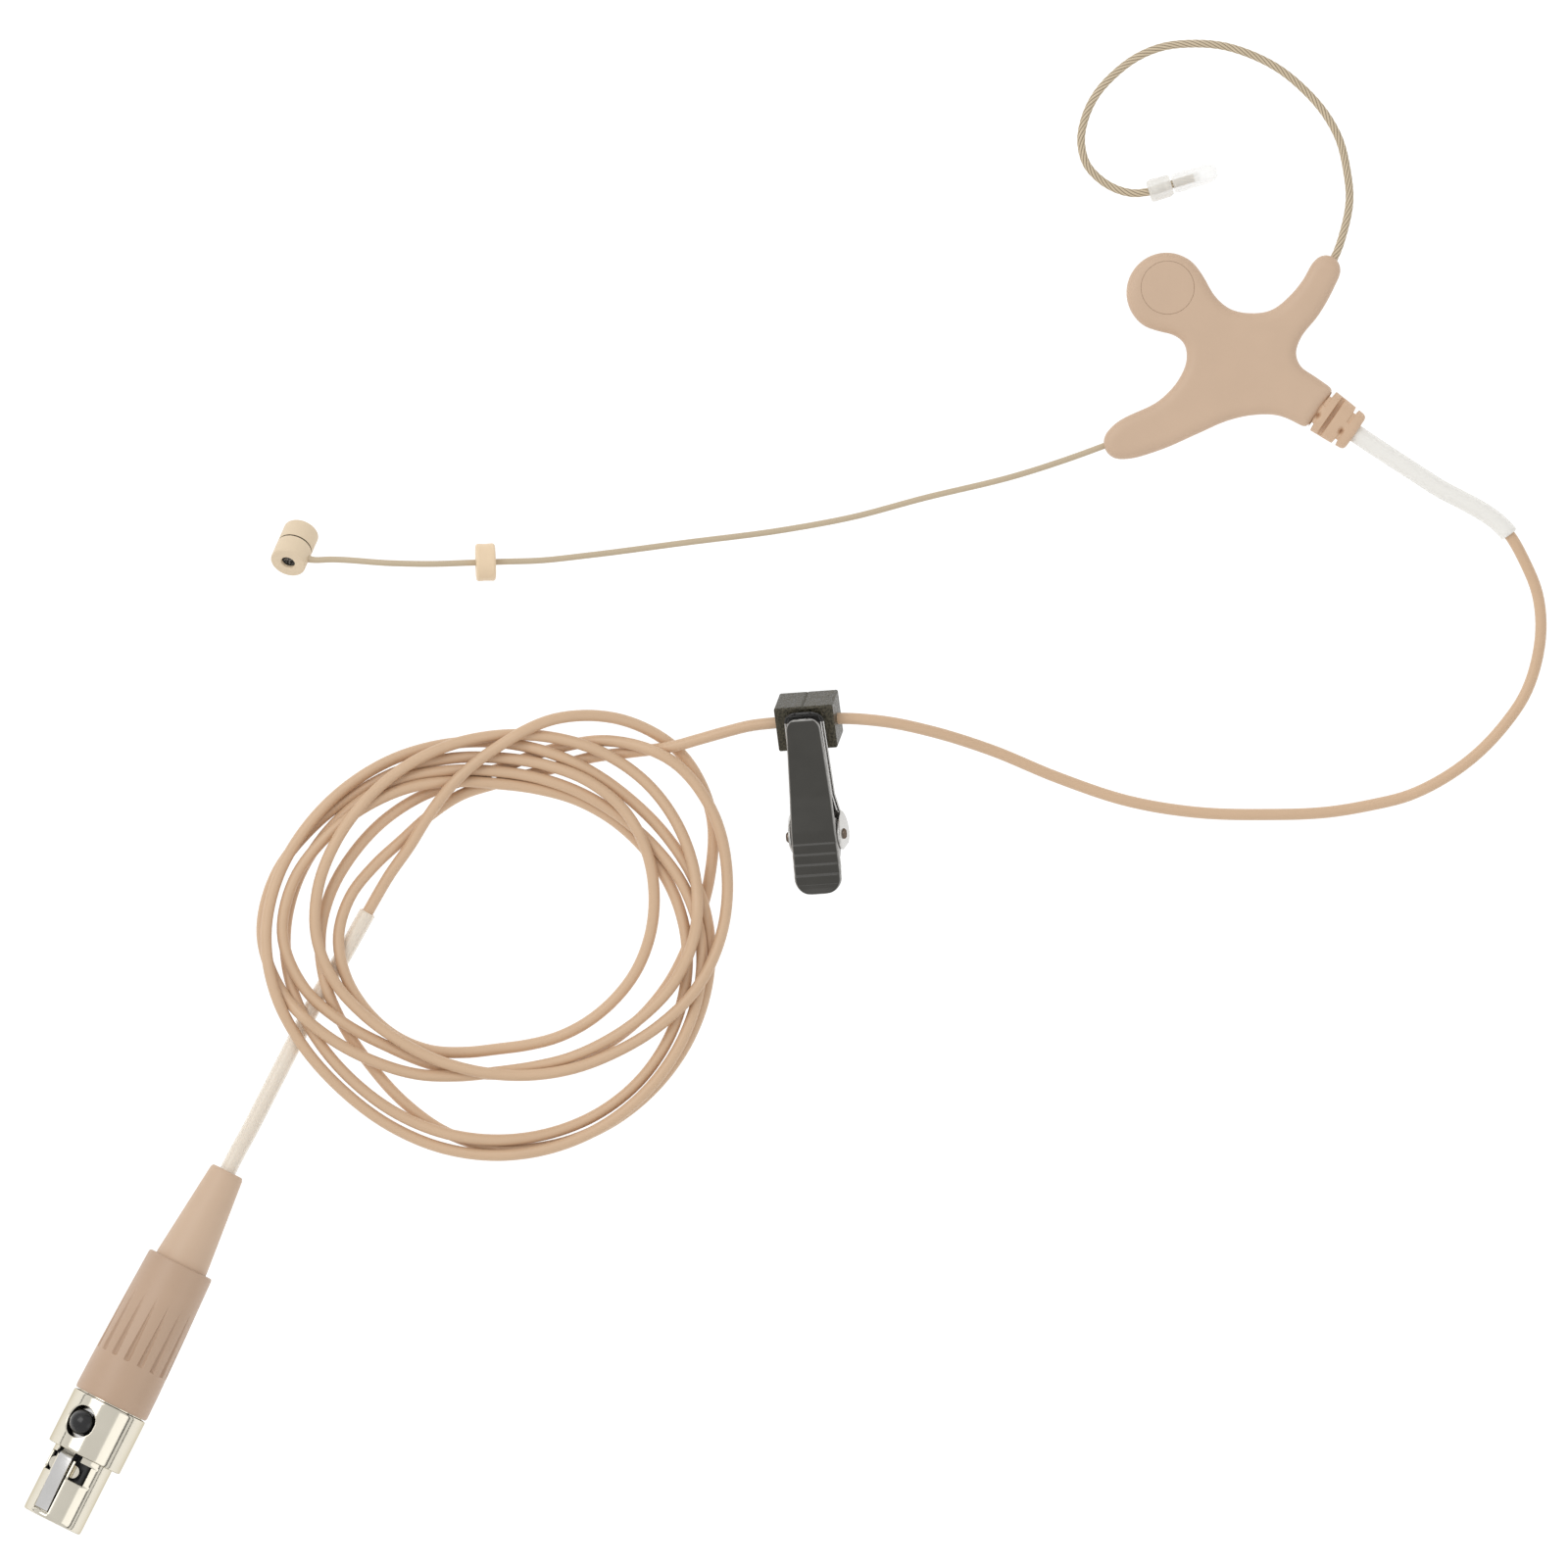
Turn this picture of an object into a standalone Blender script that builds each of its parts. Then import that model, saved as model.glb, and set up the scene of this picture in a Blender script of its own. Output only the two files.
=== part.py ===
"""Headset microphone: capsule on a formed boom, X-shaped cheek body with an ear hook, and a cable
with a clothing clip, a loose coil and a miniature plug.

It lies flat, skin side down, on the plane z = 0. The origin is on the body's flat skin face.
All dimensions below are in millimetres; MM turns them into Blender's metres.
"""

import math

import bmesh
import bpy
import numpy as np
from mathutils import Matrix, Vector

MM = 0.001

# ---------------------------------------------------------------- driving dimensions
BODY_THICKNESS = 4.4
PARTING_HEIGHT = 2.2
PARTING_GAP = 0.1
WALL = 0.9

CAPSULE_RADIUS = 2.35
CAPSULE_LENGTH = 5.9
CAPSULE_CENTRE = (-123.97, -23.6, 3.8)
CAPSULE_AXIS = (-0.297, -0.690, 0.66)
BOOM_RADIUS = 0.4
BOOM_RING_CENTRE = (-99.0, -25.525, 6.27)
BOOM_RING_AXIS = (14.0, 0.45, -0.70)

HOOK_ROPE_RADIUS = 0.5
CABLE_RADIUS = 0.75
CABLE_STEP = 4.2
SLEEVE_BORE = 0.92
UPPER_SLEEVE_RADIUS = 1.2
LOWER_SLEEVE_RADIUS = 1.1
UPPER_SLEEVE_SPAN = (9.45, 33.4)
LOWER_SLEEVE_SPAN = (16.9, 55.3)

RELIEF_BASE = (10.1, -5.45, 2.2)
RELIEF_AXIS = (0.822, -0.569, 0.0)
RELIEF_LENGTH = 5.6

COIL_CENTRE = (-97.4, -74.4)
COIL_OUTER = (31.8, 29.6)
COIL_HOLE_CENTRE = (-97.05, -71.9)
COIL_HOLE = (20.5, 16.7)
COIL_HEIGHT = 5.2

CLIP_CENTRE = (-56.8, -46.2, 6.4)
CLIP_TILT = 20.0
CLIP_ROLL = -9.6
CLIP_TURN = 4.0
CLIP_PIVOT = (-14.1, 5.3)
CLIP_PLATE = 0.45

PLUG_ORIGIN = (-132.7, -105.1, 5.2)
PLUG_AXIS = (-0.449, -0.893, 0.0)
PLUG_ROLL = 30.5
BUTTON_STATION = 37.8
LATCH_ROOT = 31.0
LATCH_MIDDLE = 3.85
CONTACT_CIRCLE = 1.7

# ---------------------------------------------------------------- routes, chosen by hand
BOOM_ROUTE = [
    (-119.5, -25.16, 5.45),
    (-111.3, -25.65, 6.35),
    (-106.0, -25.75, 6.62),
    (-101.33, -25.60, 6.387),
    (-96.67, -25.45, 6.153),
    (-92.0, -25.30, 5.92),
    (-85.6, -24.62, 5.55),
    (-72.8, -22.95, 4.85),
    (-60.0, -21.28, 4.15),
    (-51.0, -19.6, 3.65),
    (-42.0, -17.2, 3.2),
    (-29.2, -14.05, 2.65),
    (-21.55, -11.54, 2.3),
    (-18.08, -10.26, 2.2),
    (-12.2, -8.09, 2.2),
]
HOOK_ROUTE = [
    (8.3, 8.7, 2.2),
    (10.4, 11.9, 2.2),
    (12.0, 14.4, 2.2),
    (13.2, 17.8, 2.2),
    (13.95, 22.0, 2.2),
    (13.6, 25.7, 2.2),
    (12.55, 29.9, 2.2),
    (10.5, 33.5, 2.2),
    (8.0, 36.3, 2.2),
    (4.7, 39.0, 2.2),
    (1.0, 40.9, 2.2),
    (-2.6, 42.0, 2.2),
    (-6.8, 42.3, 2.2),
    (-10.4, 41.9, 2.2),
    (-13.7, 40.6, 2.2),
    (-16.8, 38.3, 2.2),
    (-19.2, 35.6, 2.2),
    (-20.6, 32.7, 2.2),
    (-21.15, 29.4, 2.2),
    (-20.4, 26.5, 2.2),
    (-18.6, 24.5, 2.2),
    (-16.3, 23.2, 2.2),
    (-14.3, 22.75, 2.2),
    (-12.3, 22.95, 2.2),
    (-9.2, 23.91, 2.2),
    (-6.4, 24.78, 2.2),
]
HOOK_TIP_START = (-12.3, 22.95, 2.2)
HOOK_TIP_AXIS = (0.955, 0.296, 0.0)
UPPER_CABLE_ROUTE = [
    (7.14, -3.40, 2.2),
    (10.1, -5.45, 2.2),
    (14.7, -8.64, 2.2),
    (24.6, -15.15, 2.0),
    (34.87, -21.9, 1.45),
    (36.9, -25.5, 1.1),
    (38.5, -29.5, 0.8),
    (39.0, -33.5, 0.77),
    (38.5, -38.1, 0.77),
    (36.9, -42.8, 0.77),
    (34.2, -46.8, 0.77),
    (30.6, -50.6, 0.77),
    (26.7, -53.5, 0.77),
    (21.7, -56.0, 0.77),
    (16.5, -57.3, 0.77),
    (11.8, -58.1, 0.77),
    (2.8, -58.5, 0.77),
    (-6.15, -58.2, 0.77),
    (-15.1, -56.7, 0.8),
    (-24.1, -53.7, 1.2),
    (-33.1, -50.0, 2.9),
    (-40.8, -47.6, 5.0),
    (-47.2, -46.3, 6.9),
    (-52.9, -45.93, 7.05),
    (-56.8, -46.2, 6.4),
    (-60.7, -46.47, 5.75),
    (-64.5, -46.9, 4.6),
    (-67.7, -47.7, 3.5),
    (-70.9, -48.6, 2.6),
    (-74.1, -49.5, 2.15),
]
LOWER_CABLE_ROUTE = [
    (-104.5, -57.9, 3.6),
    (-108.1, -61.5, 2.8),
    (-110.3, -64.6, 2.1),
    (-112.6, -68.2, 1.5),
    (-114.4, -71.2, 1.2),
    (-117.7, -77.05, 1.15),
    (-120.9, -82.3, 1.15),
    (-124.1, -88.4, 1.25),
    (-127.3, -94.7, 2.0),
    (-130.0, -100.0, 3.6),
    (-131.9, -103.5, 4.95),
    (-132.7, -105.1, 5.2),
    (-134.1, -107.9, 5.2),
    (-136.0, -111.7, 5.2),
    (-139.0, -117.6, 5.2),
]


# ---------------------------------------------------------------- helpers
def clear_scene():
    for obj in list(bpy.data.objects):
        bpy.data.objects.remove(obj, do_unlink=True)


def material(name, colour, roughness, metallic=0.0, alpha=1.0):
    made = bpy.data.materials.new(name)
    made.use_nodes = True
    shader = made.node_tree.nodes["Principled BSDF"]
    shader.inputs["Base Color"].default_value = (*colour, 1.0)
    shader.inputs["Roughness"].default_value = roughness
    shader.inputs["Metallic"].default_value = metallic
    shader.inputs["Alpha"].default_value = alpha
    return made


def frame(origin, axis, towards=(0.0, 0.0, 1.0)):
    """World matrix in metres whose local Z is axis and whose local X leans to towards."""
    z_axis = Vector(axis).normalized()
    x_axis = (Vector(towards) - Vector(towards).dot(z_axis) * z_axis).normalized()
    y_axis = z_axis.cross(x_axis)
    turn = Matrix((x_axis, y_axis, z_axis)).transposed().to_4x4()
    return Matrix.Translation(Vector(origin) * MM) @ turn


def empty(name, matrix):
    made = bpy.data.objects.new(name, None)
    made.empty_display_size = 0.003
    bpy.context.collection.objects.link(made)
    made.matrix_world = matrix
    return made


def mesh_object(name, points, faces, finish, parent=None, at=(0.0, 0.0, 0.0)):
    """Object from points in millimetres, with its origin at the parent's point at."""
    mesh = bpy.data.meshes.new(name)
    mesh.from_pydata([tuple(c * MM for c in p) for p in points], [], faces)
    work = bmesh.new()
    work.from_mesh(mesh)
    bmesh.ops.recalc_face_normals(work, faces=work.faces)
    work.to_mesh(mesh)
    work.free()
    mesh.shade_smooth()
    mesh.set_sharp_from_angle(angle=math.radians(35))
    obj = bpy.data.objects.new(name, mesh)
    bpy.context.collection.objects.link(obj)
    obj.parent = parent
    obj.location = Vector(at) * MM
    if finish:
        mesh.materials.append(finish)
    return obj


def loft(loops, closed=False):
    """Points and faces of a skin over equal loops, capped flat at both ends unless closed."""
    rows, count = len(loops), len(loops[0])
    points = [point for loop in loops for point in loop]
    faces = []
    for row in range(rows if closed else rows - 1):
        here, there = row * count, (row + 1) % rows * count
        for i in range(count):
            j = (i + 1) % count
            faces.append((here + i, here + j, there + j, there + i))
    if not closed:
        faces.append(tuple(range(count)))
        faces.append(tuple(range((rows - 1) * count, rows * count)))
    return points, faces


def turned(name, profile, finish, parent=None, at=(0.0, 0.0, 0.0), closed=False, steps=20):
    """Piece turned about local Z from (radius, height) points; closed makes a tube of the profile."""
    angles = [math.tau * i / steps for i in range(steps)]
    loops = [[(r * math.cos(a), r * math.sin(a), z) for a in angles] for r, z in profile]
    return mesh_object(name, *loft(loops, closed), finish, parent, at)


def block(name, low, high, finish=None, parent=None, at=(0.0, 0.0, 0.0), bevel=0.0):
    """Box between two corners in millimetres, with a small rounded edge where bevel is given."""
    corners = [(x, y, z) for z in (low[2], high[2]) for x, y in
               ((low[0], low[1]), (high[0], low[1]), (high[0], high[1]), (low[0], high[1]))]
    faces = [(0, 1, 2, 3), (4, 5, 6, 7), (0, 1, 5, 4), (1, 2, 6, 5), (2, 3, 7, 6), (3, 0, 4, 7)]
    obj = mesh_object(name, corners, faces, finish, parent, at)
    if bevel:
        edge = obj.modifiers.new("edge", "BEVEL")
        edge.width = bevel * MM
        edge.segments = 2
    return obj


def hide(cutter):
    cutter.hide_render = True
    cutter.display_type = "WIRE"
    return cutter


def combine(obj, other, operation="DIFFERENCE"):
    step = obj.modifiers.new(f"{operation.lower()} {other.name}", "BOOLEAN")
    step.operation = operation
    step.solver = "EXACT"
    step.object = hide(other)


def smooth_route(route, step):
    """Points every step millimetres or a little less, on a smooth curve through the route's points."""
    knots = np.array(route, float)
    chord = np.concatenate([[0.0], np.cumsum(np.linalg.norm(np.diff(knots, axis=0), axis=1))])
    slope = np.gradient(knots, chord, axis=0)
    fine = np.linspace(0.0, chord[-1], 40 * len(knots))
    span = np.clip(np.searchsorted(chord, fine, side="right") - 1, 0, len(knots) - 2)
    width = (chord[span + 1] - chord[span])[:, None]
    t = (fine - chord[span])[:, None] / width
    curve = (
        (1 + 2 * t) * (1 - t) ** 2 * knots[span]
        + t * (1 - t) ** 2 * width * slope[span]
        + t * t * (3 - 2 * t) * knots[span + 1]
        + t * t * (t - 1) * width * slope[span + 1]
    )
    length = np.concatenate([[0.0], np.cumsum(np.linalg.norm(np.diff(curve, axis=0), axis=1))])
    even = np.linspace(0.0, length[-1], max(2, math.ceil(length[-1] / step) + 1))
    return np.stack([np.interp(even, length, curve[:, k]) for k in range(3)], axis=1)


def rod(name, points, radius, finish, parent=None, at=(0.0, 0.0, 0.0)):
    """Round bar, rope or cable along the points, as a curve with filled caps."""
    curve = bpy.data.curves.new(name, "CURVE")
    curve.dimensions = "3D"
    curve.bevel_depth = radius * MM
    curve.bevel_resolution = 2
    curve.use_fill_caps = True
    spline = curve.splines.new("POLY")
    spline.points.add(len(points) - 1)
    for spot, point in zip(spline.points, points):
        spot.co = (*[c * MM for c in point], 1.0)
    obj = bpy.data.objects.new(name, curve)
    bpy.context.collection.objects.link(obj)
    obj.parent = parent
    obj.location = Vector(at) * MM
    curve.materials.append(finish)
    return obj


def sleeve(name, points, bore, radius, finish, steps=10):
    """Tube of thin wall along the points: outer skin, end ring, bore and end ring."""
    points = np.array(points, float)
    along = np.gradient(points, axis=0)
    along /= np.linalg.norm(along, axis=1)[:, None]
    side = np.cross(along, (0.0, 0.0, 1.0))
    side /= np.linalg.norm(side, axis=1)[:, None]
    up = np.cross(side, along)
    turn = np.arange(steps) * math.tau / steps

    def ring(i, r):
        return points[i] + r * (np.cos(turn)[:, None] * side[i] + np.sin(turn)[:, None] * up[i])

    order = range(len(points))
    loops = [ring(i, radius) for i in order] + [ring(i, bore) for i in reversed(order)]
    return mesh_object(name, *loft([[tuple(p) for p in loop] for loop in loops], closed=True), finish)


def arc(centre, radius, start, end, steps):
    """Points on an arc, from start to end in degrees, anticlockwise."""
    angles = np.radians(np.linspace(start, end, steps))
    return [(centre[0] + radius * math.cos(a), centre[1] + radius * math.sin(a)) for a in angles]


def body_outline():
    """Outline of the X-shaped body, anticlockwise from the upper to the lower corner of its cable arm."""
    route = (
        [(11.9, -2.95), (9.4, -1.2), (7.4, 0.25), (6.9, 1.8), (7.4, 3.5), (9.9, 6.8), (12.0, 10.6)]
        + arc((10.85, 12.75), 1.95, 0.0, 150.0, 5)
        + [(8.1, 11.8), (6.1, 9.3), (3.6, 7.4), (0.9, 7.05), (-1.7, 7.6), (-3.6, 9.2)]
        + arc((-10.0, 9.75), 5.25, 25.0, 235.0, 9)
        + [(-11.0, 4.7), (-9.0, 4.2), (-7.7, 3.2), (-7.3, 1.5), (-8.5, -1.8), (-10.5, -4.0)]
        + arc((-15.95, -9.8), 2.3, 125.0, 285.0, 6)
        + [(-11.0, -10.9), (-5.9, -8.7), (-1.7, -6.9), (1.4, -6.25), (4.6, -6.3), (8.3, -7.95)]
    )
    flat = smooth_route([(x, y, 0.0) for x, y in route], 2.1)[:, :2]
    return flat


def inset(outline, distance):
    """The closed outline moved inwards by distance along its normals."""
    along = np.roll(outline, -1, axis=0) - np.roll(outline, 1, axis=0)
    along /= np.linalg.norm(along, axis=1)[:, None]
    return outline + distance * np.stack([-along[:, 1], along[:, 0]], axis=1)


def plate(name, sections, finish):
    """Body shell lofted over (height, inset) sections of the body's outline."""
    outline = body_outline()
    loops = [[(x, y, z) for x, y in inset(outline, d)] for z, d in sections]
    return mesh_object(name, *loft(loops), finish)


def strip(name, path, widths, thickness, finish, parent, at=(0.0, 0.0, 0.0)):
    """Sheet-metal strip bent along a path of (y, z) points, with its own width at each point."""
    path = np.array(path, float)
    along = np.gradient(path, axis=0)
    along /= np.linalg.norm(along, axis=1)[:, None]
    up = np.stack([along[:, 1], -along[:, 0]], axis=1) * thickness
    loops = []
    for (y, z), (dy, dz), width in zip(path, up, widths):
        half = width / 2
        loops.append([(-half, y, z), (half, y, z), (half, y + dy, z + dz), (-half, y + dy, z + dz)])
    return mesh_object(name, *loft(loops), finish, parent, at)


def ear(name, outline, low, high, parent, at=(0.0, 0.0, 0.0)):
    """Flat ear: a (y, z) outline drawn out along x from low to high."""
    loops = [[(x, y, z) for y, z in outline] for x in (low, high)]
    return mesh_object(name, *loft(loops), None, parent, at)


def cross_bar(name, low, high, radius, parent, at=(0.0, 0.0, 0.0), finish=None, steps=16):
    """Round bar along local X."""
    angles = [math.tau * i / steps for i in range(steps)]
    loops = [[(x, radius * math.cos(a), radius * math.sin(a)) for a in angles] for x in (low, high)]
    return mesh_object(name, *loft(loops), finish, parent, at)


# ---------------------------------------------------------------- finishes
def finishes():
    return {
        "tan": material("tan_plastic", (0.60, 0.42, 0.27), 0.55),
        "cream": material("cream_silicone", (0.80, 0.70, 0.55), 0.4),
        "clear": material("clear_silicone", (0.90, 0.88, 0.84), 0.15, alpha=0.35),
        "mesh": material("dark_mesh", (0.03, 0.03, 0.03), 0.5, 0.6),
        "black": material("black_lacquer", (0.015, 0.015, 0.017), 0.3),
        "rubber": material("black_rubber", (0.02, 0.02, 0.02), 0.8),
        "nickel": material("nickel", (0.72, 0.70, 0.66), 0.22, 1.0),
        "brass": material("brass", (0.75, 0.55, 0.25), 0.3, 1.0),
        "resin": material("potting_resin", (0.10, 0.10, 0.11), 0.4),
    }


# ---------------------------------------------------------------- microphone capsule
def make_capsule(look):
    """Two turned cups round the element; the boom enters the front cup's side wall."""
    entry_side = Vector((1.0, 0.0, 0.0))
    axle = empty("capsule_frame", frame(CAPSULE_CENTRE, CAPSULE_AXIS, entry_side))
    radius, half = CAPSULE_RADIUS, CAPSULE_LENGTH / 2
    front = turned(
        "mic_front_cap",
        [(0.95, half), (2.2, half), (radius, half - 0.15), (radius, 0.14), (2.0, 0.14),
         (2.0, half - 0.55), (0.95, half - 0.55)],
        look["tan"], axle, closed=True, steps=24,
    )
    combine(front, cross_bar("boom_hole", 1.0, 3.5, 0.55, axle, at=(0.0, 0.0, 1.4)))
    turned("mic_mesh", [(1.9, 2.07), (1.9, 2.27)], look["mesh"], axle)
    turned("mic_element", [(1.45, -2.0), (1.45, 0.8)], look["nickel"], axle)
    turned(
        "mic_rear_cap",
        [(1.6, -2.2), (1.6, 0.65), (1.85, 0.65), (1.85, -0.05), (radius, -0.05),
         (radius, 0.15 - half), (2.2, -half)],
        look["tan"], axle, steps=24,
    )
    return axle


# ---------------------------------------------------------------- boom
def make_boom(look, capsule):
    inner_end = capsule.matrix_world @ (Vector((1.75, 0.0, 1.4)) * MM) / MM
    wall = capsule.matrix_world @ (Vector((3.0, 0.0, 1.4)) * MM) / MM
    route = [tuple(inner_end), tuple(wall)] + BOOM_ROUTE
    rod("boom_wire", smooth_route(route, 3.0), BOOM_RADIUS, look["tan"])
    ring_frame = empty("boom_ring_frame", frame(BOOM_RING_CENTRE, BOOM_RING_AXIS))
    turned(
        "boom_ring",
        [(0.52, -1.25), (2.05, -1.25), (2.45, -0.85), (2.45, 0.85), (2.05, 1.25), (0.52, 1.25)],
        look["cream"], ring_frame, closed=True,
    )
    ferrule_frame = empty("boom_ferrule_frame", frame((-15.46, -9.29, 2.2), (0.938, 0.347, 0.0)))
    turned("boom_ferrule", [(0.5, 0.0), (0.85, 0.0), (0.85, 3.0), (0.5, 3.0)], look["brass"],
           ferrule_frame, closed=True, steps=16)


# ---------------------------------------------------------------- body
def make_body(look):
    low_rim = PARTING_HEIGHT - PARTING_GAP / 2
    high_rim = PARTING_HEIGHT + PARTING_GAP / 2
    top = BODY_THICKNESS
    back = plate(
        "body_back_shell",
        [(0.8, WALL), (low_rim, WALL), (low_rim, 0.0), (0.6, 0.0), (0.15, 0.2), (0.0, 0.6)],
        look["tan"],
    )
    front = plate(
        "body_front_shell",
        [(top - 0.8, WALL), (high_rim, WALL), (high_rim, 0.0), (3.2, 0.05), (3.85, 0.35),
         (top - 0.15, 0.9), (top, 1.6)],
        look["tan"],
    )
    boom_frame = empty("boom_entry_frame", frame((-20.0, -10.97, 2.2), (0.0, 0.0, 1.0), (0.938, 0.347, 0.0)))
    hook_frame = empty("hook_entry_frame", frame((9.9, 11.1, 2.2), (0.0, 0.0, 1.0), (0.552, 0.834, 0.0)))
    for shell in (back, front):
        combine(shell, cross_bar(f"{shell.name}_boom_cut", 0.0, 4.5, BOOM_RADIUS + 0.12, boom_frame))
        combine(shell, cross_bar(f"{shell.name}_hook_cut", 0.0, 6.0, HOOK_ROPE_RADIUS + 0.15, hook_frame))
        relief_cut = oval_bar(f"{shell.name}_relief_cut", [(-1.6, 1.78, 1.27), (0.6, 1.78, 1.27)])
        combine(shell, relief_cut)
    recess = turned("inlay_recess", [(3.75, top - 0.42), (3.75, top + 1.0)], None, at=(-9.75, 10.4, 0.0), steps=24)
    combine(front, recess)
    turned("paddle_inlay", [(3.6, top - 0.36), (3.6, top - 0.06), (3.45, top + 0.02), (2.6, top + 0.06)],
           look["tan"], at=(-9.75, 10.4, 0.0), steps=24)
    block_frame = empty("joint_block_frame", frame((-0.4, -0.6, 2.2), (0.0, 0.0, 1.0), (0.9, -0.43, 0.0)))
    block("joint_block", (-2.6, -1.5, -1.0), (2.6, 1.5, 1.0), look["resin"], block_frame, bevel=0.2)
    rod("boom_leads", smooth_route([(-11.7, -7.9, 2.2), (-8.4, -5.6, 2.2), (-5.2, -1.6, 2.2), (-3.0, 0.45, 2.2)], 1.2),
        0.3, look["resin"])
    rod("cable_leads", smooth_route([(2.2, -1.75, 2.2), (4.4, -2.6, 2.2), (6.7, -3.2, 2.2)], 1.2), 0.3, look["resin"])


# ---------------------------------------------------------------- ear hook
def make_hook(look):
    rod("hook_rope", smooth_route(HOOK_ROUTE, 2.6), HOOK_ROPE_RADIUS, look["tan"])
    anchor = empty("hook_ferrule_frame", frame((8.47, 8.95, 2.2), (0.549, 0.836, 0.0)))
    turned("hook_ferrule", [(0.62, 0.0), (1.0, 0.0), (1.0, 2.8), (0.62, 2.8)], look["brass"], anchor,
           closed=True, steps=16)
    end = empty("hook_tip_frame", frame(HOOK_TIP_START, HOOK_TIP_AXIS))
    turned("hook_sleeve", [(0.62, 0.0), (1.35, 0.0), (1.5, 0.2), (1.5, 2.9), (1.35, 3.1), (0.62, 3.1)],
           look["clear"], end, closed=True, steps=20)
    turned(
        "hook_tip",
        [(0.62, 6.9), (0.62, 3.25), (1.15, 3.25), (1.3, 3.5), (1.3, 8.2), (1.1, 8.85), (0.7, 9.25), (0.3, 9.4)],
        look["clear"], end, steps=20,
    )


# ---------------------------------------------------------------- strain relief
def oval_bar(name, sections, finish=None, bore=0.0, steps=16):
    """Bar of oval sections (station, half width, half height) on the cable arm's axis."""
    base = bpy.data.objects.get("relief_frame") or empty(
        "relief_frame", frame(RELIEF_BASE, RELIEF_AXIS, (0.0, 0.0, 1.0)))
    angles = [math.tau * i / steps for i in range(steps)]
    loops = [[(b * math.cos(t), a * math.sin(t), s) for t in angles] for s, a, b in sections]
    if bore:
        loops += [[(bore * math.cos(t), bore * math.sin(t), s) for t in angles]
                  for s in (sections[-1][0], sections[0][0])]
    return mesh_object(name, *loft(loops, closed=bool(bore)), finish, base)


def make_strain_relief(look):
    """Oval moulding with a flange inside the body and open slots that let it bend."""
    relief = oval_bar(
        "strain_relief",
        [(-2.4, 1.75, 1.2), (-2.3, 2.0, 1.35), (-1.35, 2.0, 1.35), (-1.25, 1.7, 1.2), (0.12, 1.7, 1.2),
         (0.14, 2.95, 2.0), (0.35, 3.08, 2.12), (3.0, 2.85, 2.05), (5.3, 2.66, 1.95), (RELIEF_LENGTH, 2.45, 1.8)],
        look["tan"], bore=0.85,
    )
    base = bpy.data.objects["relief_frame"]
    for number, station in enumerate((1.35, 3.1)):
        for side in (-1, 1):
            low, high = sorted((side * 1.25, side * 4.0))
            combine(relief, block(f"slot_{number}_{side}", (low, -4.0, station), (high, 4.0, station + 0.45), parent=base))
    for number, station in enumerate((2.25, 4.1)):
        for side in (-1, 1):
            low, high = sorted((side * 1.5, side * 4.0))
            combine(relief, block(f"notch_{number}_{side}", (-1.1, low, station), (1.1, high, station + 0.45), parent=base))


# ---------------------------------------------------------------- cable
def make_cable(look):
    upper = smooth_route(UPPER_CABLE_ROUTE, CABLE_STEP)
    rod("cable_upper", upper, CABLE_RADIUS, look["tan"])
    lower = smooth_route(LOWER_CABLE_ROUTE, CABLE_STEP)
    rod("cable_lower", lower, CABLE_RADIUS, look["tan"])
    sleeve("upper_sleeve", stretch(upper, *UPPER_SLEEVE_SPAN), SLEEVE_BORE, UPPER_SLEEVE_RADIUS, look["clear"])
    sleeve("lower_sleeve", stretch(lower, *LOWER_SLEEVE_SPAN), SLEEVE_BORE, LOWER_SLEEVE_RADIUS, look["clear"])
    make_coil(look)


def stretch(points, start, end):
    """The part of a path between two distances from its first point."""
    length = np.concatenate([[0.0], np.cumsum(np.linalg.norm(np.diff(points, axis=0), axis=1))])
    middle = length[(length > start + 0.4) & (length < end - 0.4)]
    wanted = np.concatenate([[start], middle, [end]])
    return np.stack([np.interp(wanted, length, points[:, k]) for k in range(3)], axis=1)


def oval_ring(centre, half, power, steps):
    """Points on a rounded oval |x/a|^p + |y/b|^p = 1 about centre."""
    angle = np.arange(steps) * math.tau / steps
    reach = (np.abs(np.cos(angle)) ** power + np.abs(np.sin(angle)) ** power) ** (-1 / power)
    return np.stack([centre[0] + half[0] * reach * np.cos(angle), centre[1] + half[1] * reach * np.sin(angle)], axis=1)


def make_coil(look):
    """Outer shape of the loose coil: a turned ring, with a way under it for the cable to the plug."""
    outer = oval_ring(COIL_CENTRE, COIL_OUTER, 2.3, 36)
    inner = oval_ring(COIL_HOLE_CENTRE, COIL_HOLE, 2.0, 36)
    section = [(0.06, 0.0), (0.94, 0.0), (1.0, 0.15), (1.0, 0.6), (0.85, 0.9), (0.5, 1.0), (0.15, 0.9),
               (0.0, 0.6), (0.0, 0.15)]
    loops = []
    for across, height in section:
        ring = inner + (outer - inner) * across
        loops.append([(x, y, height * COIL_HEIGHT) for x, y in ring])
    coil = mesh_object("cable_coil", *loft(loops, closed=True), look["tan"])
    way = empty("coil_tunnel_frame", frame((-120.9, -82.3, 0.0), (0.0, 0.0, 1.0), (-0.47, -0.883, 0.0)))
    combine(coil, block("coil_tunnel", (-16.0, -1.8, -1.0), (16.0, 1.8, 2.75), parent=way))


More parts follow.
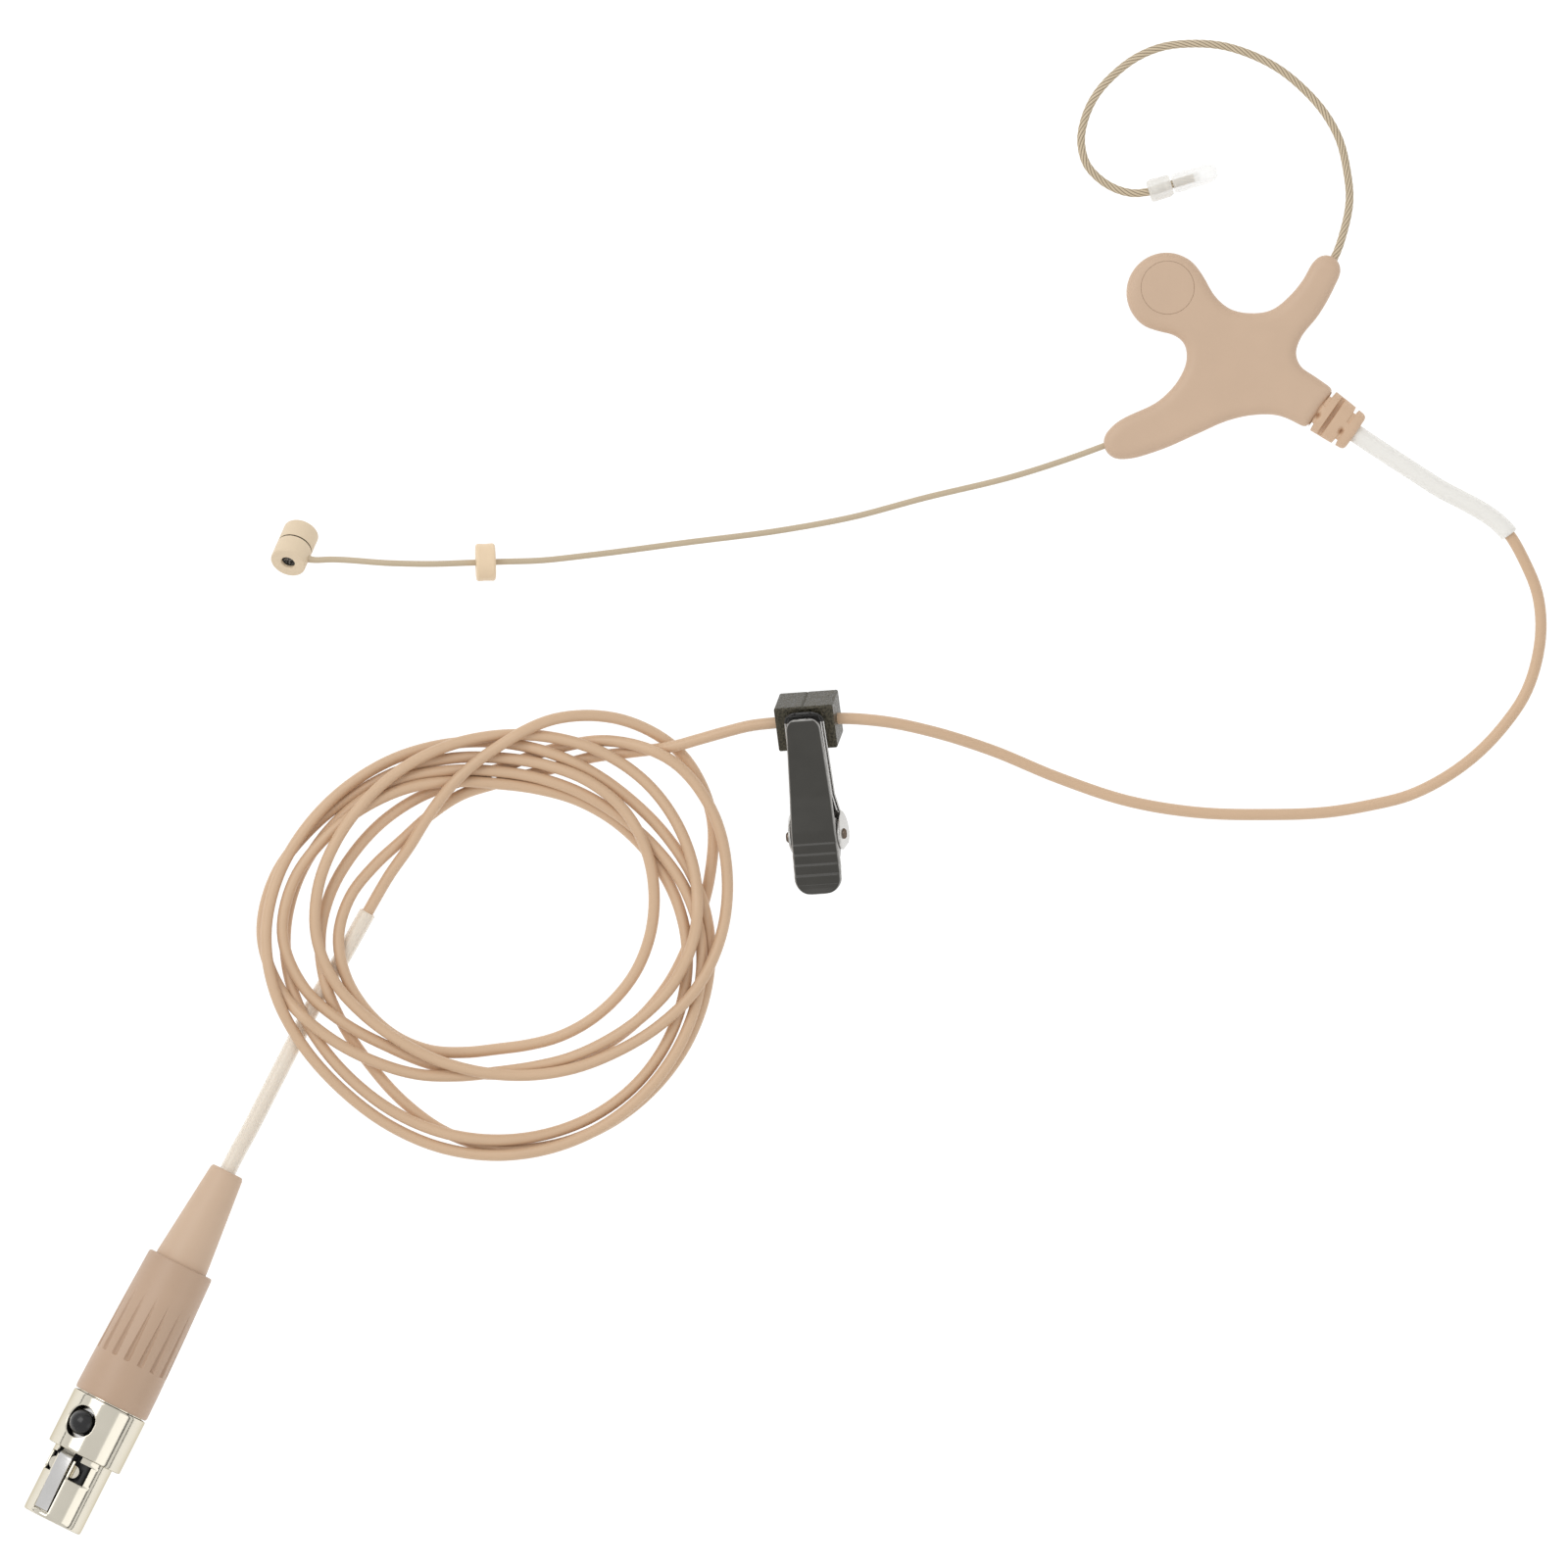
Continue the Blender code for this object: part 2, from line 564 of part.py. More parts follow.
# ---------------------------------------------------------------- clothing clip
def make_clip(look):
    """Rubber cable block fixed behind the lower jaw of a small sprung clip.

    In the clip's frame x runs along the hinge pin, y from the handles to the jaws, and z from the
    block to the lever.
    """
    tilt = Matrix.Rotation(math.radians(CLIP_TURN), 4, "Z")
    tilt @= Matrix.Rotation(math.radians(CLIP_ROLL), 4, "Y")
    tilt @= Matrix.Rotation(math.radians(CLIP_TILT), 4, "X")
    clip = empty("clip_frame", Matrix.Translation(Vector(CLIP_CENTRE) * MM) @ tilt)
    pivot = (0.0, *CLIP_PIVOT)

    body = block("clip_block", (-3.9, -3.0, -3.0), (3.9, 3.0, 3.0), look["rubber"], clip, bevel=0.35)
    combine(body, cross_bar("cable_channel", -6.0, 6.0, CABLE_RADIUS + 0.15, clip))
    combine(body, block("cable_slit", (-6.0, -0.13, -4.0), (6.0, 0.13, 0.0), parent=clip))

    jaw = strip(
        "clip_lower_jaw",
        [(2.5, 3.75), (2.0, 3.3), (1.0, 3.15), (-12.0, 3.15), (-17.0, 2.5), (-21.0, 1.5)],
        [3.2, 3.9, 4.4, 5.1, 5.1, 4.0], CLIP_PLATE, look["nickel"], clip,
    )
    jaw_ear = [(-16.6, 2.75), (-11.6, 3.35), (-12.4, 5.6), (-13.2, 6.2), (-15.0, 6.2), (-15.8, 5.6)]
    for number, (low, high) in enumerate(((-2.5, -2.2), (2.2, 2.5))):
        combine(jaw, ear(f"jaw_ear_{number}", jaw_ear, low, high, clip), "UNION")
    combine(jaw, cross_bar("jaw_pin_hole", -5.0, 5.0, 0.7, clip, at=pivot))

    lever_path = [(1.9, 4.5), (0.5, 4.6), (-3.0, 4.95), (-8.3, 5.7), (-12.5, 6.95), (-15.5, 7.2),
                  (-18.2, 7.7), (-20.2, 8.2), (-20.8, 8.55)]
    lever_path = [(y - CLIP_PIVOT[0], z - CLIP_PIVOT[1]) for y, z in lever_path]
    lever = strip("clip_lever", lever_path, [2.4, 3.4, 5.2, 5.8, 6.0, 6.0, 6.1, 5.2, 3.6], CLIP_PLATE,
                  look["black"], clip, at=pivot)
    lever_ear = [(2.0, 2.0), (-1.9, 2.1), (-1.5, 0.0), (-1.0, -1.1), (0.0, -1.3), (1.0, -1.1), (1.5, 0.2)]
    for number, (low, high) in enumerate(((-2.9, -2.6), (2.6, 2.9))):
        combine(lever, ear(f"lever_ear_{number}", lever_ear, low, high, clip, at=pivot), "UNION")
    combine(lever, cross_bar("lever_pin_hole", -5.0, 5.0, 0.7, clip, at=pivot))

    cross_bar("clip_pin", -3.9, 3.9, 0.58, clip, at=pivot, finish=look["nickel"])
    rod("clip_spring", spring_path(), 0.22, look["nickel"], clip, at=pivot)


def spring_path(turns=2.5, radius=1.25, width=2.6):
    """Helix round the pin with two straight legs that run back between the handles."""
    angle = np.linspace(math.pi / 2, math.pi / 2 - turns * math.tau, 21)
    x = np.linspace(-width / 2, width / 2, len(angle))
    helix = np.stack([x, radius * np.cos(angle), radius * np.sin(angle)], axis=1)
    upper_leg = [(-width / 2, -4.2, 2.1), (-width / 2, -2.2, 1.55)]
    lower_leg = [(width / 2, -2.2, -1.6), (width / 2, -4.6, -1.95)]
    return upper_leg + [tuple(p) for p in helix] + lower_leg


# ---------------------------------------------------------------- plug
def make_plug(look):
    """Miniature three-contact socket plug. Stations run along its axis from the boot's mouth."""
    axis = Vector(PLUG_AXIS).normalized()
    level = Vector((axis.y, -axis.x, 0.0))
    roll = math.radians(PLUG_ROLL)
    button_side = Vector((0.0, 0.0, math.cos(roll))) + level * math.sin(roll)
    plug = empty("plug_frame", frame(PLUG_ORIGIN, axis, button_side))

    turned(
        "plug_boot",
        [(1.3, 0.0), (2.0, 0.0), (2.2, 0.3), (3.5, 13.3), (3.5, 14.75), (3.85, 14.8), (3.85, 16.5), (1.0, 16.5),
         (1.0, 3.0), (1.3, 2.6)],
        look["rubber"], plug, closed=True,
    )
    turned(
        "plug_grip",
        [(3.62, 13.6), (4.3, 13.6), (4.4, 13.8), (5.15, 33.6), (5.1, 34.0), (4.65, 34.0), (4.65, 28.0),
         (4.0, 28.0), (4.0, 14.6), (3.62, 14.6)],
        look["tan"], plug, closed=True, steps=24,
    )
    turned("plug_clamp", [(0.95, 17.0), (3.4, 17.0), (3.7, 18.0), (3.7, 26.0), (3.0, 27.0), (0.95, 27.0)],
           look["resin"], plug, closed=True)
    shell = turned(
        "plug_shell",
        [(4.15, 30.2), (4.5, 30.2), (4.5, 34.15), (5.15, 34.15), (5.15, 41.6), (5.0, 41.8), (4.35, 41.8),
         (4.35, 34.6), (4.15, 34.6)],
        look["nickel"], plug, closed=True, steps=24,
    )
    combine(shell, cross_bar("button_hole", 3.0, 7.0, 2.0, plug, at=(0.0, 0.0, BUTTON_STATION)))
    nose = turned("plug_nose", [(3.6, 39.9), (4.1, 39.9), (4.1, 50.9), (3.9, 51.2), (3.6, 51.2)],
                  look["nickel"], plug, closed=True, steps=24)
    combine(nose, block("latch_slot", (3.0, -1.25, 39.0), (5.0, 1.25, 50.5), parent=plug))
    for side in (-1, 1):
        window = block(f"window_{side}", (3.0, -1.1, 42.6), (5.0, 1.1, 45.3), parent=plug)
        window.rotation_euler.z = side * math.radians(37.7)
        combine(nose, window)

    insert = turned("plug_insert", [(3.45, 37.0), (3.45, 50.3)], look["rubber"], plug, steps=24)
    combine(insert, block("latch_flat", (2.5, -2.6, 36.0), (5.0, 2.6, 50.4), parent=plug))
    for number in range(3):
        angle = math.radians(60 + 120 * number)
        spot = (CONTACT_CIRCLE * math.cos(angle), CONTACT_CIRCLE * math.sin(angle), 0.0)
        combine(insert, turned(f"contact_hole_{number}", [(0.75, 35.0), (0.75, 52.0)], None, plug, spot, steps=16))
        turned(
            f"plug_contact_{number + 1}",
            [(0.36, 43.0), (0.36, 49.8), (0.6, 49.8), (0.6, 34.6), (0.4, 34.2)],
            look["brass"], plug, spot, steps=16,
        )

    root = (LATCH_MIDDLE, 0.0, LATCH_ROOT)
    latch = block("plug_latch", (-0.14, -1.0, 0.0), (0.14, 1.0, 19.0), look["nickel"], plug, at=root)
    combine(latch, block("latch_notch", (-1.0, -0.4, 18.6), (1.0, 0.4, 19.6), parent=plug, at=root))
    button_frame = empty("plug_button_frame", Matrix())
    button_frame.parent = plug
    button_frame.rotation_euler.y = math.radians(90)
    button_frame.location = Vector((0.0, 0.0, BUTTON_STATION)) * MM
    turned("plug_button", [(1.65, 4.12), (1.65, 4.95), (1.4, 5.2), (0.7, 5.32)], look["black"], button_frame, steps=20)


def main():
    clear_scene()
    look = finishes()
    capsule = make_capsule(look)
    bpy.context.view_layer.update()
    make_boom(look, capsule)
    make_body(look)
    make_hook(look)
    make_strain_relief(look)
    make_cable(look)
    make_clip(look)
    make_plug(look)


main()
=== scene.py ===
# %% [markdown]
# # Headset microphone
#
# A single-ear headset microphone lies flat on a bright table. A tiny capsule sits on a thin formed
# boom, an X-shaped body lies on the cheek, a wire-rope hook goes round the ear, and a thin cable
# carries a clothing clip, a loose coil and a miniature plug.
#
# The exact model of its parts is loaded first as a fixed frame. The visible surfaces are then worked
# out with numpy in the same space, so that each one sits where its part is.

import math

import bpy
import numpy as np
from mathutils.geometry import delaunay_2d_cdt
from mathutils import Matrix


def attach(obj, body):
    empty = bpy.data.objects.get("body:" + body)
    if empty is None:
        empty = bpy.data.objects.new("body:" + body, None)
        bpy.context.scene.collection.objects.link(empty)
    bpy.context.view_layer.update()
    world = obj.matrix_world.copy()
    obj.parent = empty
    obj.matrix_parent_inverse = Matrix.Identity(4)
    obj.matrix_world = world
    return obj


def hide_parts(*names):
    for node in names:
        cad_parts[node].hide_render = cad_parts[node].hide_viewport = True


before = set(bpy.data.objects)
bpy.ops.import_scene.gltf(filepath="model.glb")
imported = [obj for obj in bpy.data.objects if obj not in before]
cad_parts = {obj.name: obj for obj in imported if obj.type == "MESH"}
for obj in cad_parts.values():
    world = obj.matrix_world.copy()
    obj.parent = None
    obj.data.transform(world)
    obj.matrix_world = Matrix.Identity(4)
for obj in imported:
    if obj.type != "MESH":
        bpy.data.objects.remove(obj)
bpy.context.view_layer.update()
MM = 0.001

# %% [markdown]
# ## Camera, table and light
#
# The set is seen straight from above, from far away, so that nothing is drawn in strong
# perspective. The table glows softly, as a light table does: it swallows the shadows and puts a
# bright rim on every round edge. One large soft light from the upper left models the forms. The
# surroundings have a thin dark line low on the right, which shows as a line along polished metal.

# %% Camera
PICTURE_CENTRE = (-60.0, -54.5)
PICTURE_WIDTH = 205.1
CAMERA_HEIGHT = 6000.0

camera_data = bpy.data.cameras.new("camera")
camera_data.sensor_width = 36.0
camera_data.lens = 36.0 * CAMERA_HEIGHT / PICTURE_WIDTH
camera = bpy.data.objects.new("camera", camera_data)
camera.location = (PICTURE_CENTRE[0] * MM, PICTURE_CENTRE[1] * MM, CAMERA_HEIGHT * MM)
bpy.context.scene.collection.objects.link(camera)
bpy.context.scene.camera = camera
bpy.context.scene.view_settings.view_transform = "Standard"
print("lens:", round(camera_data.lens, 1), "mm")

# %% Table
floor_mesh = bpy.data.meshes.new("table")
floor_mesh.from_pydata([(-4, -4, 0), (4, -4, 0), (4, 4, 0), (-4, 4, 0)], [], [(0, 1, 2, 3)])
floor = bpy.data.objects.new("table", floor_mesh)
bpy.context.scene.collection.objects.link(floor)
floor_look = bpy.data.materials.new("light_table")
floor_look.use_nodes = True
floor_shader = floor_look.node_tree.nodes["Principled BSDF"]
floor_shader.inputs["Base Color"].default_value = (0.1, 0.1, 0.1, 1.0)
floor_shader.inputs["Roughness"].default_value = 0.9
floor_shader.inputs["Specular IOR Level"].default_value = 0.0
floor_shader.inputs["Emission Color"].default_value = (1.0, 1.0, 1.0, 1.0)
floor_shader.inputs["Emission Strength"].default_value = 1.03
floor_mesh.materials.append(floor_look)

# %% Light
world = bpy.data.worlds.new("studio")
bpy.context.scene.world = world
world.use_nodes = True
sky = world.node_tree
background = sky.nodes["Background"]
direction = sky.nodes.new("ShaderNodeTexCoord")
split = sky.nodes.new("ShaderNodeSeparateXYZ")
ramp = sky.nodes.new("ShaderNodeValToRGB")
sky.links.new(direction.outputs["Generated"], split.inputs[0])
sky.links.new(split.outputs["Z"], ramp.inputs[0])
strip = sky.nodes.new("ShaderNodeValToRGB")
side = sky.nodes.new("ShaderNodeMath")
side.operation = "GREATER_THAN"
side.inputs[1].default_value = 0.3
shaded = sky.nodes.new("ShaderNodeMix")
shaded.data_type, shaded.blend_type = "RGBA", "MULTIPLY"
sky.links.new(split.outputs["Z"], strip.inputs[0])
sky.links.new(split.outputs["X"], side.inputs[0])
sky.links.new(side.outputs[0], shaded.inputs[0])
sky.links.new(ramp.outputs[0], shaded.inputs[6])
sky.links.new(strip.outputs[0], shaded.inputs[7])
sky.links.new(shaded.outputs[2], background.inputs["Color"])
stops = [(0.0, 0.05), (0.055, 0.04), (0.085, 0.95), (0.35, 0.82), (0.7, 0.74), (1.0, 0.78)]
strip_stops = [(0.0, 1.0), (0.25, 1.0), (0.26, 0.0), (0.365, 0.0), (0.375, 1.0)]
for node, levels in ((ramp, stops), (strip, strip_stops)):
    for position, grey in levels[2:]:
        node.color_ramp.elements.new(position)
    for element, (position, grey) in zip(node.color_ramp.elements, levels):
        element.position = position
        element.color = (grey, grey, grey, 1.0)
background.inputs["Strength"].default_value = 1.0


def soft_light(name, place, size, power):
    """Square area light at place, in metres, aimed at the middle of the set."""
    data = bpy.data.lights.new(name, "AREA")
    data.size = size
    data.energy = power
    lamp = bpy.data.objects.new(name, data)
    bpy.context.scene.collection.objects.link(lamp)
    lamp.location = place
    aim = np.array([PICTURE_CENTRE[0] * MM, PICTURE_CENTRE[1] * MM, 0.0]) - np.array(place)
    tilt = math.acos(-aim[2] / np.linalg.norm(aim))
    lamp.rotation_euler = (tilt, 0.0, math.atan2(aim[1], aim[0]) - math.pi / 2)


soft_light("key", (-0.75, 0.55, 1.1), 0.9, 5.0)
soft_light("fill", (0.9, -0.7, 0.9), 0.9, 1.5)

# %% [markdown]
# ## Shader arithmetic
#
# A finish is a small graph of nodes. `Value` wraps a socket, so that an expression such as
# `0.4 + 0.1 * grain` adds its Math nodes, and `Finish` holds the material that the graph feeds.

# %% Value and Finish


class Value:
    """A number that varies over a surface; each operator adds one Math node."""

    def __init__(self, finish, socket):
        self.finish, self.socket = finish, socket

    def math(self, operation, *values):
        return self.finish.node("ShaderNodeMath", {"operation": operation}, values)

    def __add__(self, other):
        return self.math("ADD", self, other)

    def __sub__(self, other):
        return self.math("SUBTRACT", self, other)

    def __rsub__(self, other):
        return self.math("SUBTRACT", other, self)

    def __mul__(self, other):
        return self.math("MULTIPLY", self, other)

    def above(self, edge, width):
        """0 below the edge, 1 above it, with a straight ramp of the given width between."""
        limits = {0: self, 1: edge - width / 2, 2: edge + width / 2}
        return self.finish.node("ShaderNodeMapRange", {}, limits)

    __radd__ = __add__
    __rmul__ = __mul__


class Finish:
    """A material and the Principled shader that its nodes feed."""

    def __init__(self, name, colour, roughness, metallic=0.0, **constants):
        self.material = bpy.data.materials.new(name)
        self.material.use_nodes = True
        self.tree = self.material.node_tree
        self.shader = self.tree.nodes["Principled BSDF"]
        self.set("Base Color", (*colour, 1.0))
        self.set("Roughness", roughness)
        self.set("Metallic", metallic)
        for socket, value in constants.items():
            self.set(socket.replace("_", " "), value)

    def set(self, socket, value):
        """A constant goes on the shader's own socket; a Value is linked to it."""
        if isinstance(value, Value):
            self.tree.links.new(value.socket, self.shader.inputs[socket])
        else:
            self.shader.inputs[socket].default_value = value

    def node(self, kind, settings, inputs=(), output=0):
        made = self.tree.nodes.new(kind)
        for key, value in settings.items():
            setattr(made, key, value)
        for key, value in inputs.items() if isinstance(inputs, dict) else enumerate(inputs):
            if isinstance(value, Value):
                self.tree.links.new(value.socket, made.inputs[key])
            else:
                made.inputs[key].default_value = value
        return Value(self, made.outputs[output])

    def place(self, stretch=(1.0, 1.0, 1.0)):
        """Position on the object, in metres, stretched along its axes."""
        spot = self.node("ShaderNodeTexCoord", {}, output=3)
        return self.node("ShaderNodeMapping", {}, {0: spot, 3: stretch})

    def noise(self, size, detail=2.0, stretch=(1.0, 1.0, 1.0)):
        """Noise from 0 to 1 whose patches are about size millimetres wide."""
        inputs = {"Vector": self.place(stretch), "Scale": 1.0 / (size * MM), "Detail": detail}
        return self.node("ShaderNodeTexNoise", {}, inputs)

    def stored(self, name):
        """A number that the mesh carries at each point."""
        return self.node("ShaderNodeAttribute", {"attribute_name": name}, output=2)

    def mixed(self, factor, first, second):
        settings = {"data_type": "RGBA"}
        colours = [c if isinstance(c, Value) else (*c, 1.0) for c in (first, second)]
        return self.node("ShaderNodeMix", settings, {0: factor, 6: colours[0], 7: colours[1]}, output=2)

    def bump(self, height, depth, strength=1.0):
        """Relief whose height runs from 0 to 1 over depth millimetres."""
        inputs = {"Height": height, "Distance": depth * MM, "Strength": strength}
        self.set("Normal", self.node("ShaderNodeBump", {}, inputs))


def shade(colour, factor):
    return tuple(channel * factor for channel in colour)


# %% [markdown]
# ## Finishes
#
# The moulded pieces are a skin-coloured plastic with a fine eroded mould surface. A slow noise
# shifts its tone by a few percent, and a fast one gives the satin grain.

# %% Moulded plastics and rubber


def moulded(name, colour, roughness, grain=0.12, depth=0.012, drift=0.05, **constants):
    """Moulded plastic: slow drift of tone, fine grain in roughness and relief."""
    finish = Finish(name, colour, roughness, **constants)
    tone = finish.noise(6.0, 3.0)
    finish.set("Base Color", finish.mixed(tone, shade(colour, 1 - drift), shade(colour, 1 + drift)))
    fine = finish.noise(grain, 2.0)
    finish.set("Roughness", roughness - 0.08 + 0.16 * fine)
    finish.bump(fine, depth, 0.5)
    return finish


TAN = (0.625, 0.45, 0.318)
body_look = moulded("body_plastic", TAN, 0.5)
relief_look = moulded("relief_rubber", (0.66, 0.46, 0.31), 0.55)
boot_look = moulded("boot_rubber", (0.62, 0.45, 0.32), 0.5, drift=0.04)
grip_look = moulded("grip_plastic", (0.515, 0.358, 0.25), 0.42, drift=0.05)
insert_look = moulded("insert_plastic", (0.02, 0.02, 0.022), 0.4)
resin_look = moulded("resin", (0.10, 0.10, 0.11), 0.4)
button_look = moulded("button_plastic", (0.012, 0.012, 0.013), 0.22, grain=0.3, depth=0.004)


def capsule_paint():
    """Sandy paint, with painted shade where the mesh says that the surface lies in the joint."""
    finish = Finish("capsule_paint", (0.77, 0.63, 0.45), 0.5, Specular_IOR_Level=0.3)
    sand = finish.noise(0.07, 2.0)
    paint = finish.mixed(sand, (0.72, 0.585, 0.42), (0.82, 0.67, 0.48))
    # the dark colour in the joint is painted shade, standing in for the shadow in the gap between the cups
    finish.set("Base Color", finish.mixed(finish.stored("joint"), paint, (0.05, 0.035, 0.02)))
    finish.set("Roughness", 0.42 + 0.16 * sand)
    finish.bump(sand, 0.02, 0.5)
    return finish


cap_look = capsule_paint()

# %% [markdown]
# The cable's jacket is satin PVC. Handling leaves faint lengthwise streaks in its gloss. The boom's
# coating is thinner and a little greyer.

# %% Cable, boom and rope


def jacket(name, colour, roughness):
    """Extruded jacket: tone and gloss vary in patches, and fine waviness catches the light."""
    finish = Finish(name, colour, roughness)
    patches = finish.noise(9.0, 2.0)
    finish.set("Base Color", finish.mixed(patches, shade(colour, 0.95), shade(colour, 1.05)))
    finish.set("Roughness", roughness - 0.06 + 0.14 * finish.noise(0.5, 3.0))
    finish.bump(finish.noise(0.35, 2.0), 0.01, 0.4)
    return finish


cable_look = jacket("cable_jacket", (0.655, 0.455, 0.295), 0.42)
boom_look = jacket("boom_coating", (0.56, 0.455, 0.315), 0.4)


def rope_finish():
    """Twisted coated strands: their own colour on the crowns, and painted shade in the furrows, as the mesh
    says.
    """
    finish = Finish("rope_strands", (0.60, 0.49, 0.33), 0.45)
    crown = finish.stored("crown")
    worn = finish.noise(1.5, 3.0)
    light = finish.mixed(worn, (0.58, 0.475, 0.32), (0.68, 0.56, 0.40))
    # the dark colour in the furrows is painted shade between the strands
    finish.set("Base Color", finish.mixed(crown.above(0.38, 0.5), (0.16, 0.115, 0.07), light))
    finish.set("Roughness", 0.6 - 0.22 * crown)
    return finish


rope_look = rope_finish()

# %% [markdown]
# The sleeves and the tip of the hook are clear tubing: mostly see-through, milky at the edge, with
# tiny scratches. Alpha lets what is inside show.

# %% Clear tubing and silicone


def clear(name, colour, roughness, alpha, cloud=0.25):
    """Clear plastic whose milkiness drifts a little over its length."""
    finish = Finish(name, colour, roughness, Coat_Weight=0.3, Coat_Roughness=0.1)
    haze = finish.noise(1.2, 3.0)
    finish.set("Alpha", alpha - cloud / 2 + cloud * haze)
    finish.set("Roughness", roughness + 0.1 * finish.noise(0.9, 2.0))
    return finish


sleeve_look = clear("clear_sleeve", (1.0, 0.92, 0.80), 0.3, 0.62, 0.04)
white_sleeve_look = clear("milky_sleeve", (0.99, 0.97, 0.92), 0.35, 0.86, 0.04)
frosted_look = clear("frosted_sleeve", (0.93, 0.91, 0.86), 0.35, 0.55, 0.4)
tip_look = clear("clear_tip", (0.97, 0.965, 0.94), 0.12, 0.34, 0.1)
ring_look = moulded(
    "cream_silicone", (0.84, 0.655, 0.45), 0.4, grain=0.4, depth=0.01, Specular_IOR_Level=0.25
)

# %% [markdown]
# Two metals: nickel plating on the plug, and brighter plating on the clip. Very fine noise
# roughens their highlights; a slow noise dulls the plating in places.

# %% Metals


def plated(name, colour, roughness, lines=(1.0, 1.0, 1.0)):
    """Plated metal: handling dulls it in patches, and brushing lines run where stretch is small."""
    edge = (*shade(colour, 0.95), 1.0)
    finish = Finish(name, colour, roughness, 1.0, Specular_Tint=edge)
    dull = finish.noise(3.0, 4.0)
    brushed = finish.noise(0.25, 3.0, lines)
    finish.set("Base Color", finish.mixed(dull, shade(colour, 0.94), shade(colour, 1.04)))
    finish.set("Roughness", roughness + 0.06 * dull + 0.04 * brushed)
    finish.bump(brushed, 0.0015, 0.4)
    return finish


nickel_look = plated("nickel", (0.75, 0.705, 0.60), 0.09)
spring_look = plated("spring_steel", (0.68, 0.67, 0.66), 0.14)
brass_look = plated("contact_brass", (0.80, 0.60, 0.27), 0.2)
pin_look = plated("pin_steel", (0.20, 0.16, 0.13), 0.35)


def lacquer():
    """Black lacquer over steel: grey where it is rubbed thin along the edges."""
    finish = Finish("black_lacquer", (0.028, 0.028, 0.030), 0.34)
    rim = finish.stored("rim")
    rubbed = rim.above(0.78, 0.2) * (0.55 + 0.45 * finish.noise(0.8, 3.0))
    blotch = finish.noise(2.5, 4.0)
    coat = finish.mixed(blotch, (0.031, 0.029, 0.024), (0.047, 0.044, 0.037))
    finish.set("Base Color", finish.mixed(rubbed, coat, (0.50, 0.49, 0.47)))
    finish.set("Metallic", 0.7 * rubbed)
    finish.set("Roughness", 0.30 + 0.14 * blotch)
    finish.bump(finish.noise(0.2, 2.0), 0.01, 0.35)
    return finish


def part_lacquered():
    """The lower jaw: black lacquer on its web, bare plating where the mesh says bare."""
    finish = Finish("jaw_plating", (0.62, 0.61, 0.59), 0.2, 1.0)
    bare = finish.stored("bare").above(0.5, 0.2)
    dull = finish.noise(2.0, 3.0)
    finish.set("Base Color", finish.mixed(bare, (0.03, 0.029, 0.028), (0.58, 0.57, 0.55)))
    finish.set("Metallic", bare)
    finish.set("Roughness", 0.22 + 0.12 * dull)
    return finish


def pebbled():
    """Black moulded rubber with a coarse pebbled mould surface."""
    finish = Finish("block_rubber", (0.035, 0.034, 0.030), 0.35, Specular_Tint=(1.0, 0.93, 0.76, 1.0))
    pebble = finish.noise(0.3, 1.5).above(0.5, 0.35)
    finish.set("Base Color", finish.mixed(pebble, (0.012, 0.011, 0.008), (0.065, 0.057, 0.038)))
    finish.set("Roughness", 0.22 + 0.26 * pebble)
    finish.bump(pebble, 0.06, 0.8)
    return finish


def woven_mesh():
    """Fine dark wire gauze: two crossed sets of ridges on the capsule's own disc."""
    finish = Finish("gauze", (0.05, 0.048, 0.045), 0.35, 0.8)
    wires = finish.noise(0.12, 0.0)
    finish.set(
        "Base Color", finish.mixed(wires.above(0.55, 0.1), (0.015, 0.014, 0.013), (0.42, 0.40, 0.37))
    )
    finish.bump(wires, 0.05, 1.0)
    return finish


lacquer_look = lacquer()
chrome_look = part_lacquered()
block_look = pebbled()
gauze_look = woven_mesh()
print("finishes:", len(bpy.data.materials))

# %% [markdown]
# ## From arrays to objects
#
# A surface is a grid of points: rows one way, columns the other. `skin` joins neighbouring points
# into faces and closes the ends, and `piece` makes the object and hides the exact parts it stands for.

# %% Grids


def grid_faces(rows, columns, wrap_rows=False, wrap_columns=True):
    """Four-sided faces between neighbours; a wrapped side joins its last line to its first."""
    row = np.arange(rows if wrap_rows else rows - 1)[:, None]
    column = np.arange(columns if wrap_columns else columns - 1)[None, :]
    below, beside = (row + 1) % rows, (column + 1) % columns
    corners = [row * columns + column, row * columns + beside, below * columns + beside,
               below * columns + column]
    return np.stack(np.broadcast_arrays(*corners), axis=-1).reshape(-1, 4)


def skin(grid, ring=False):
    """Points and faces of a tube of loops; a ring joins its ends, and any other tube is capped."""
    rows, columns = grid.shape[:2]
    faces = grid_faces(rows, columns, wrap_rows=ring).tolist()
    if not ring:
        faces += [list(range(columns)), list(range((rows - 1) * columns, rows * columns))]
    return grid.reshape(-1, 3), faces


def turned_outwards(mesh):
    """Makes the faces of a closed mesh agree and point out."""
    import bmesh

    work = bmesh.new()
    work.from_mesh(mesh)
    bmesh.ops.recalc_face_normals(work, faces=work.faces)
    work.to_mesh(mesh)
    work.free()


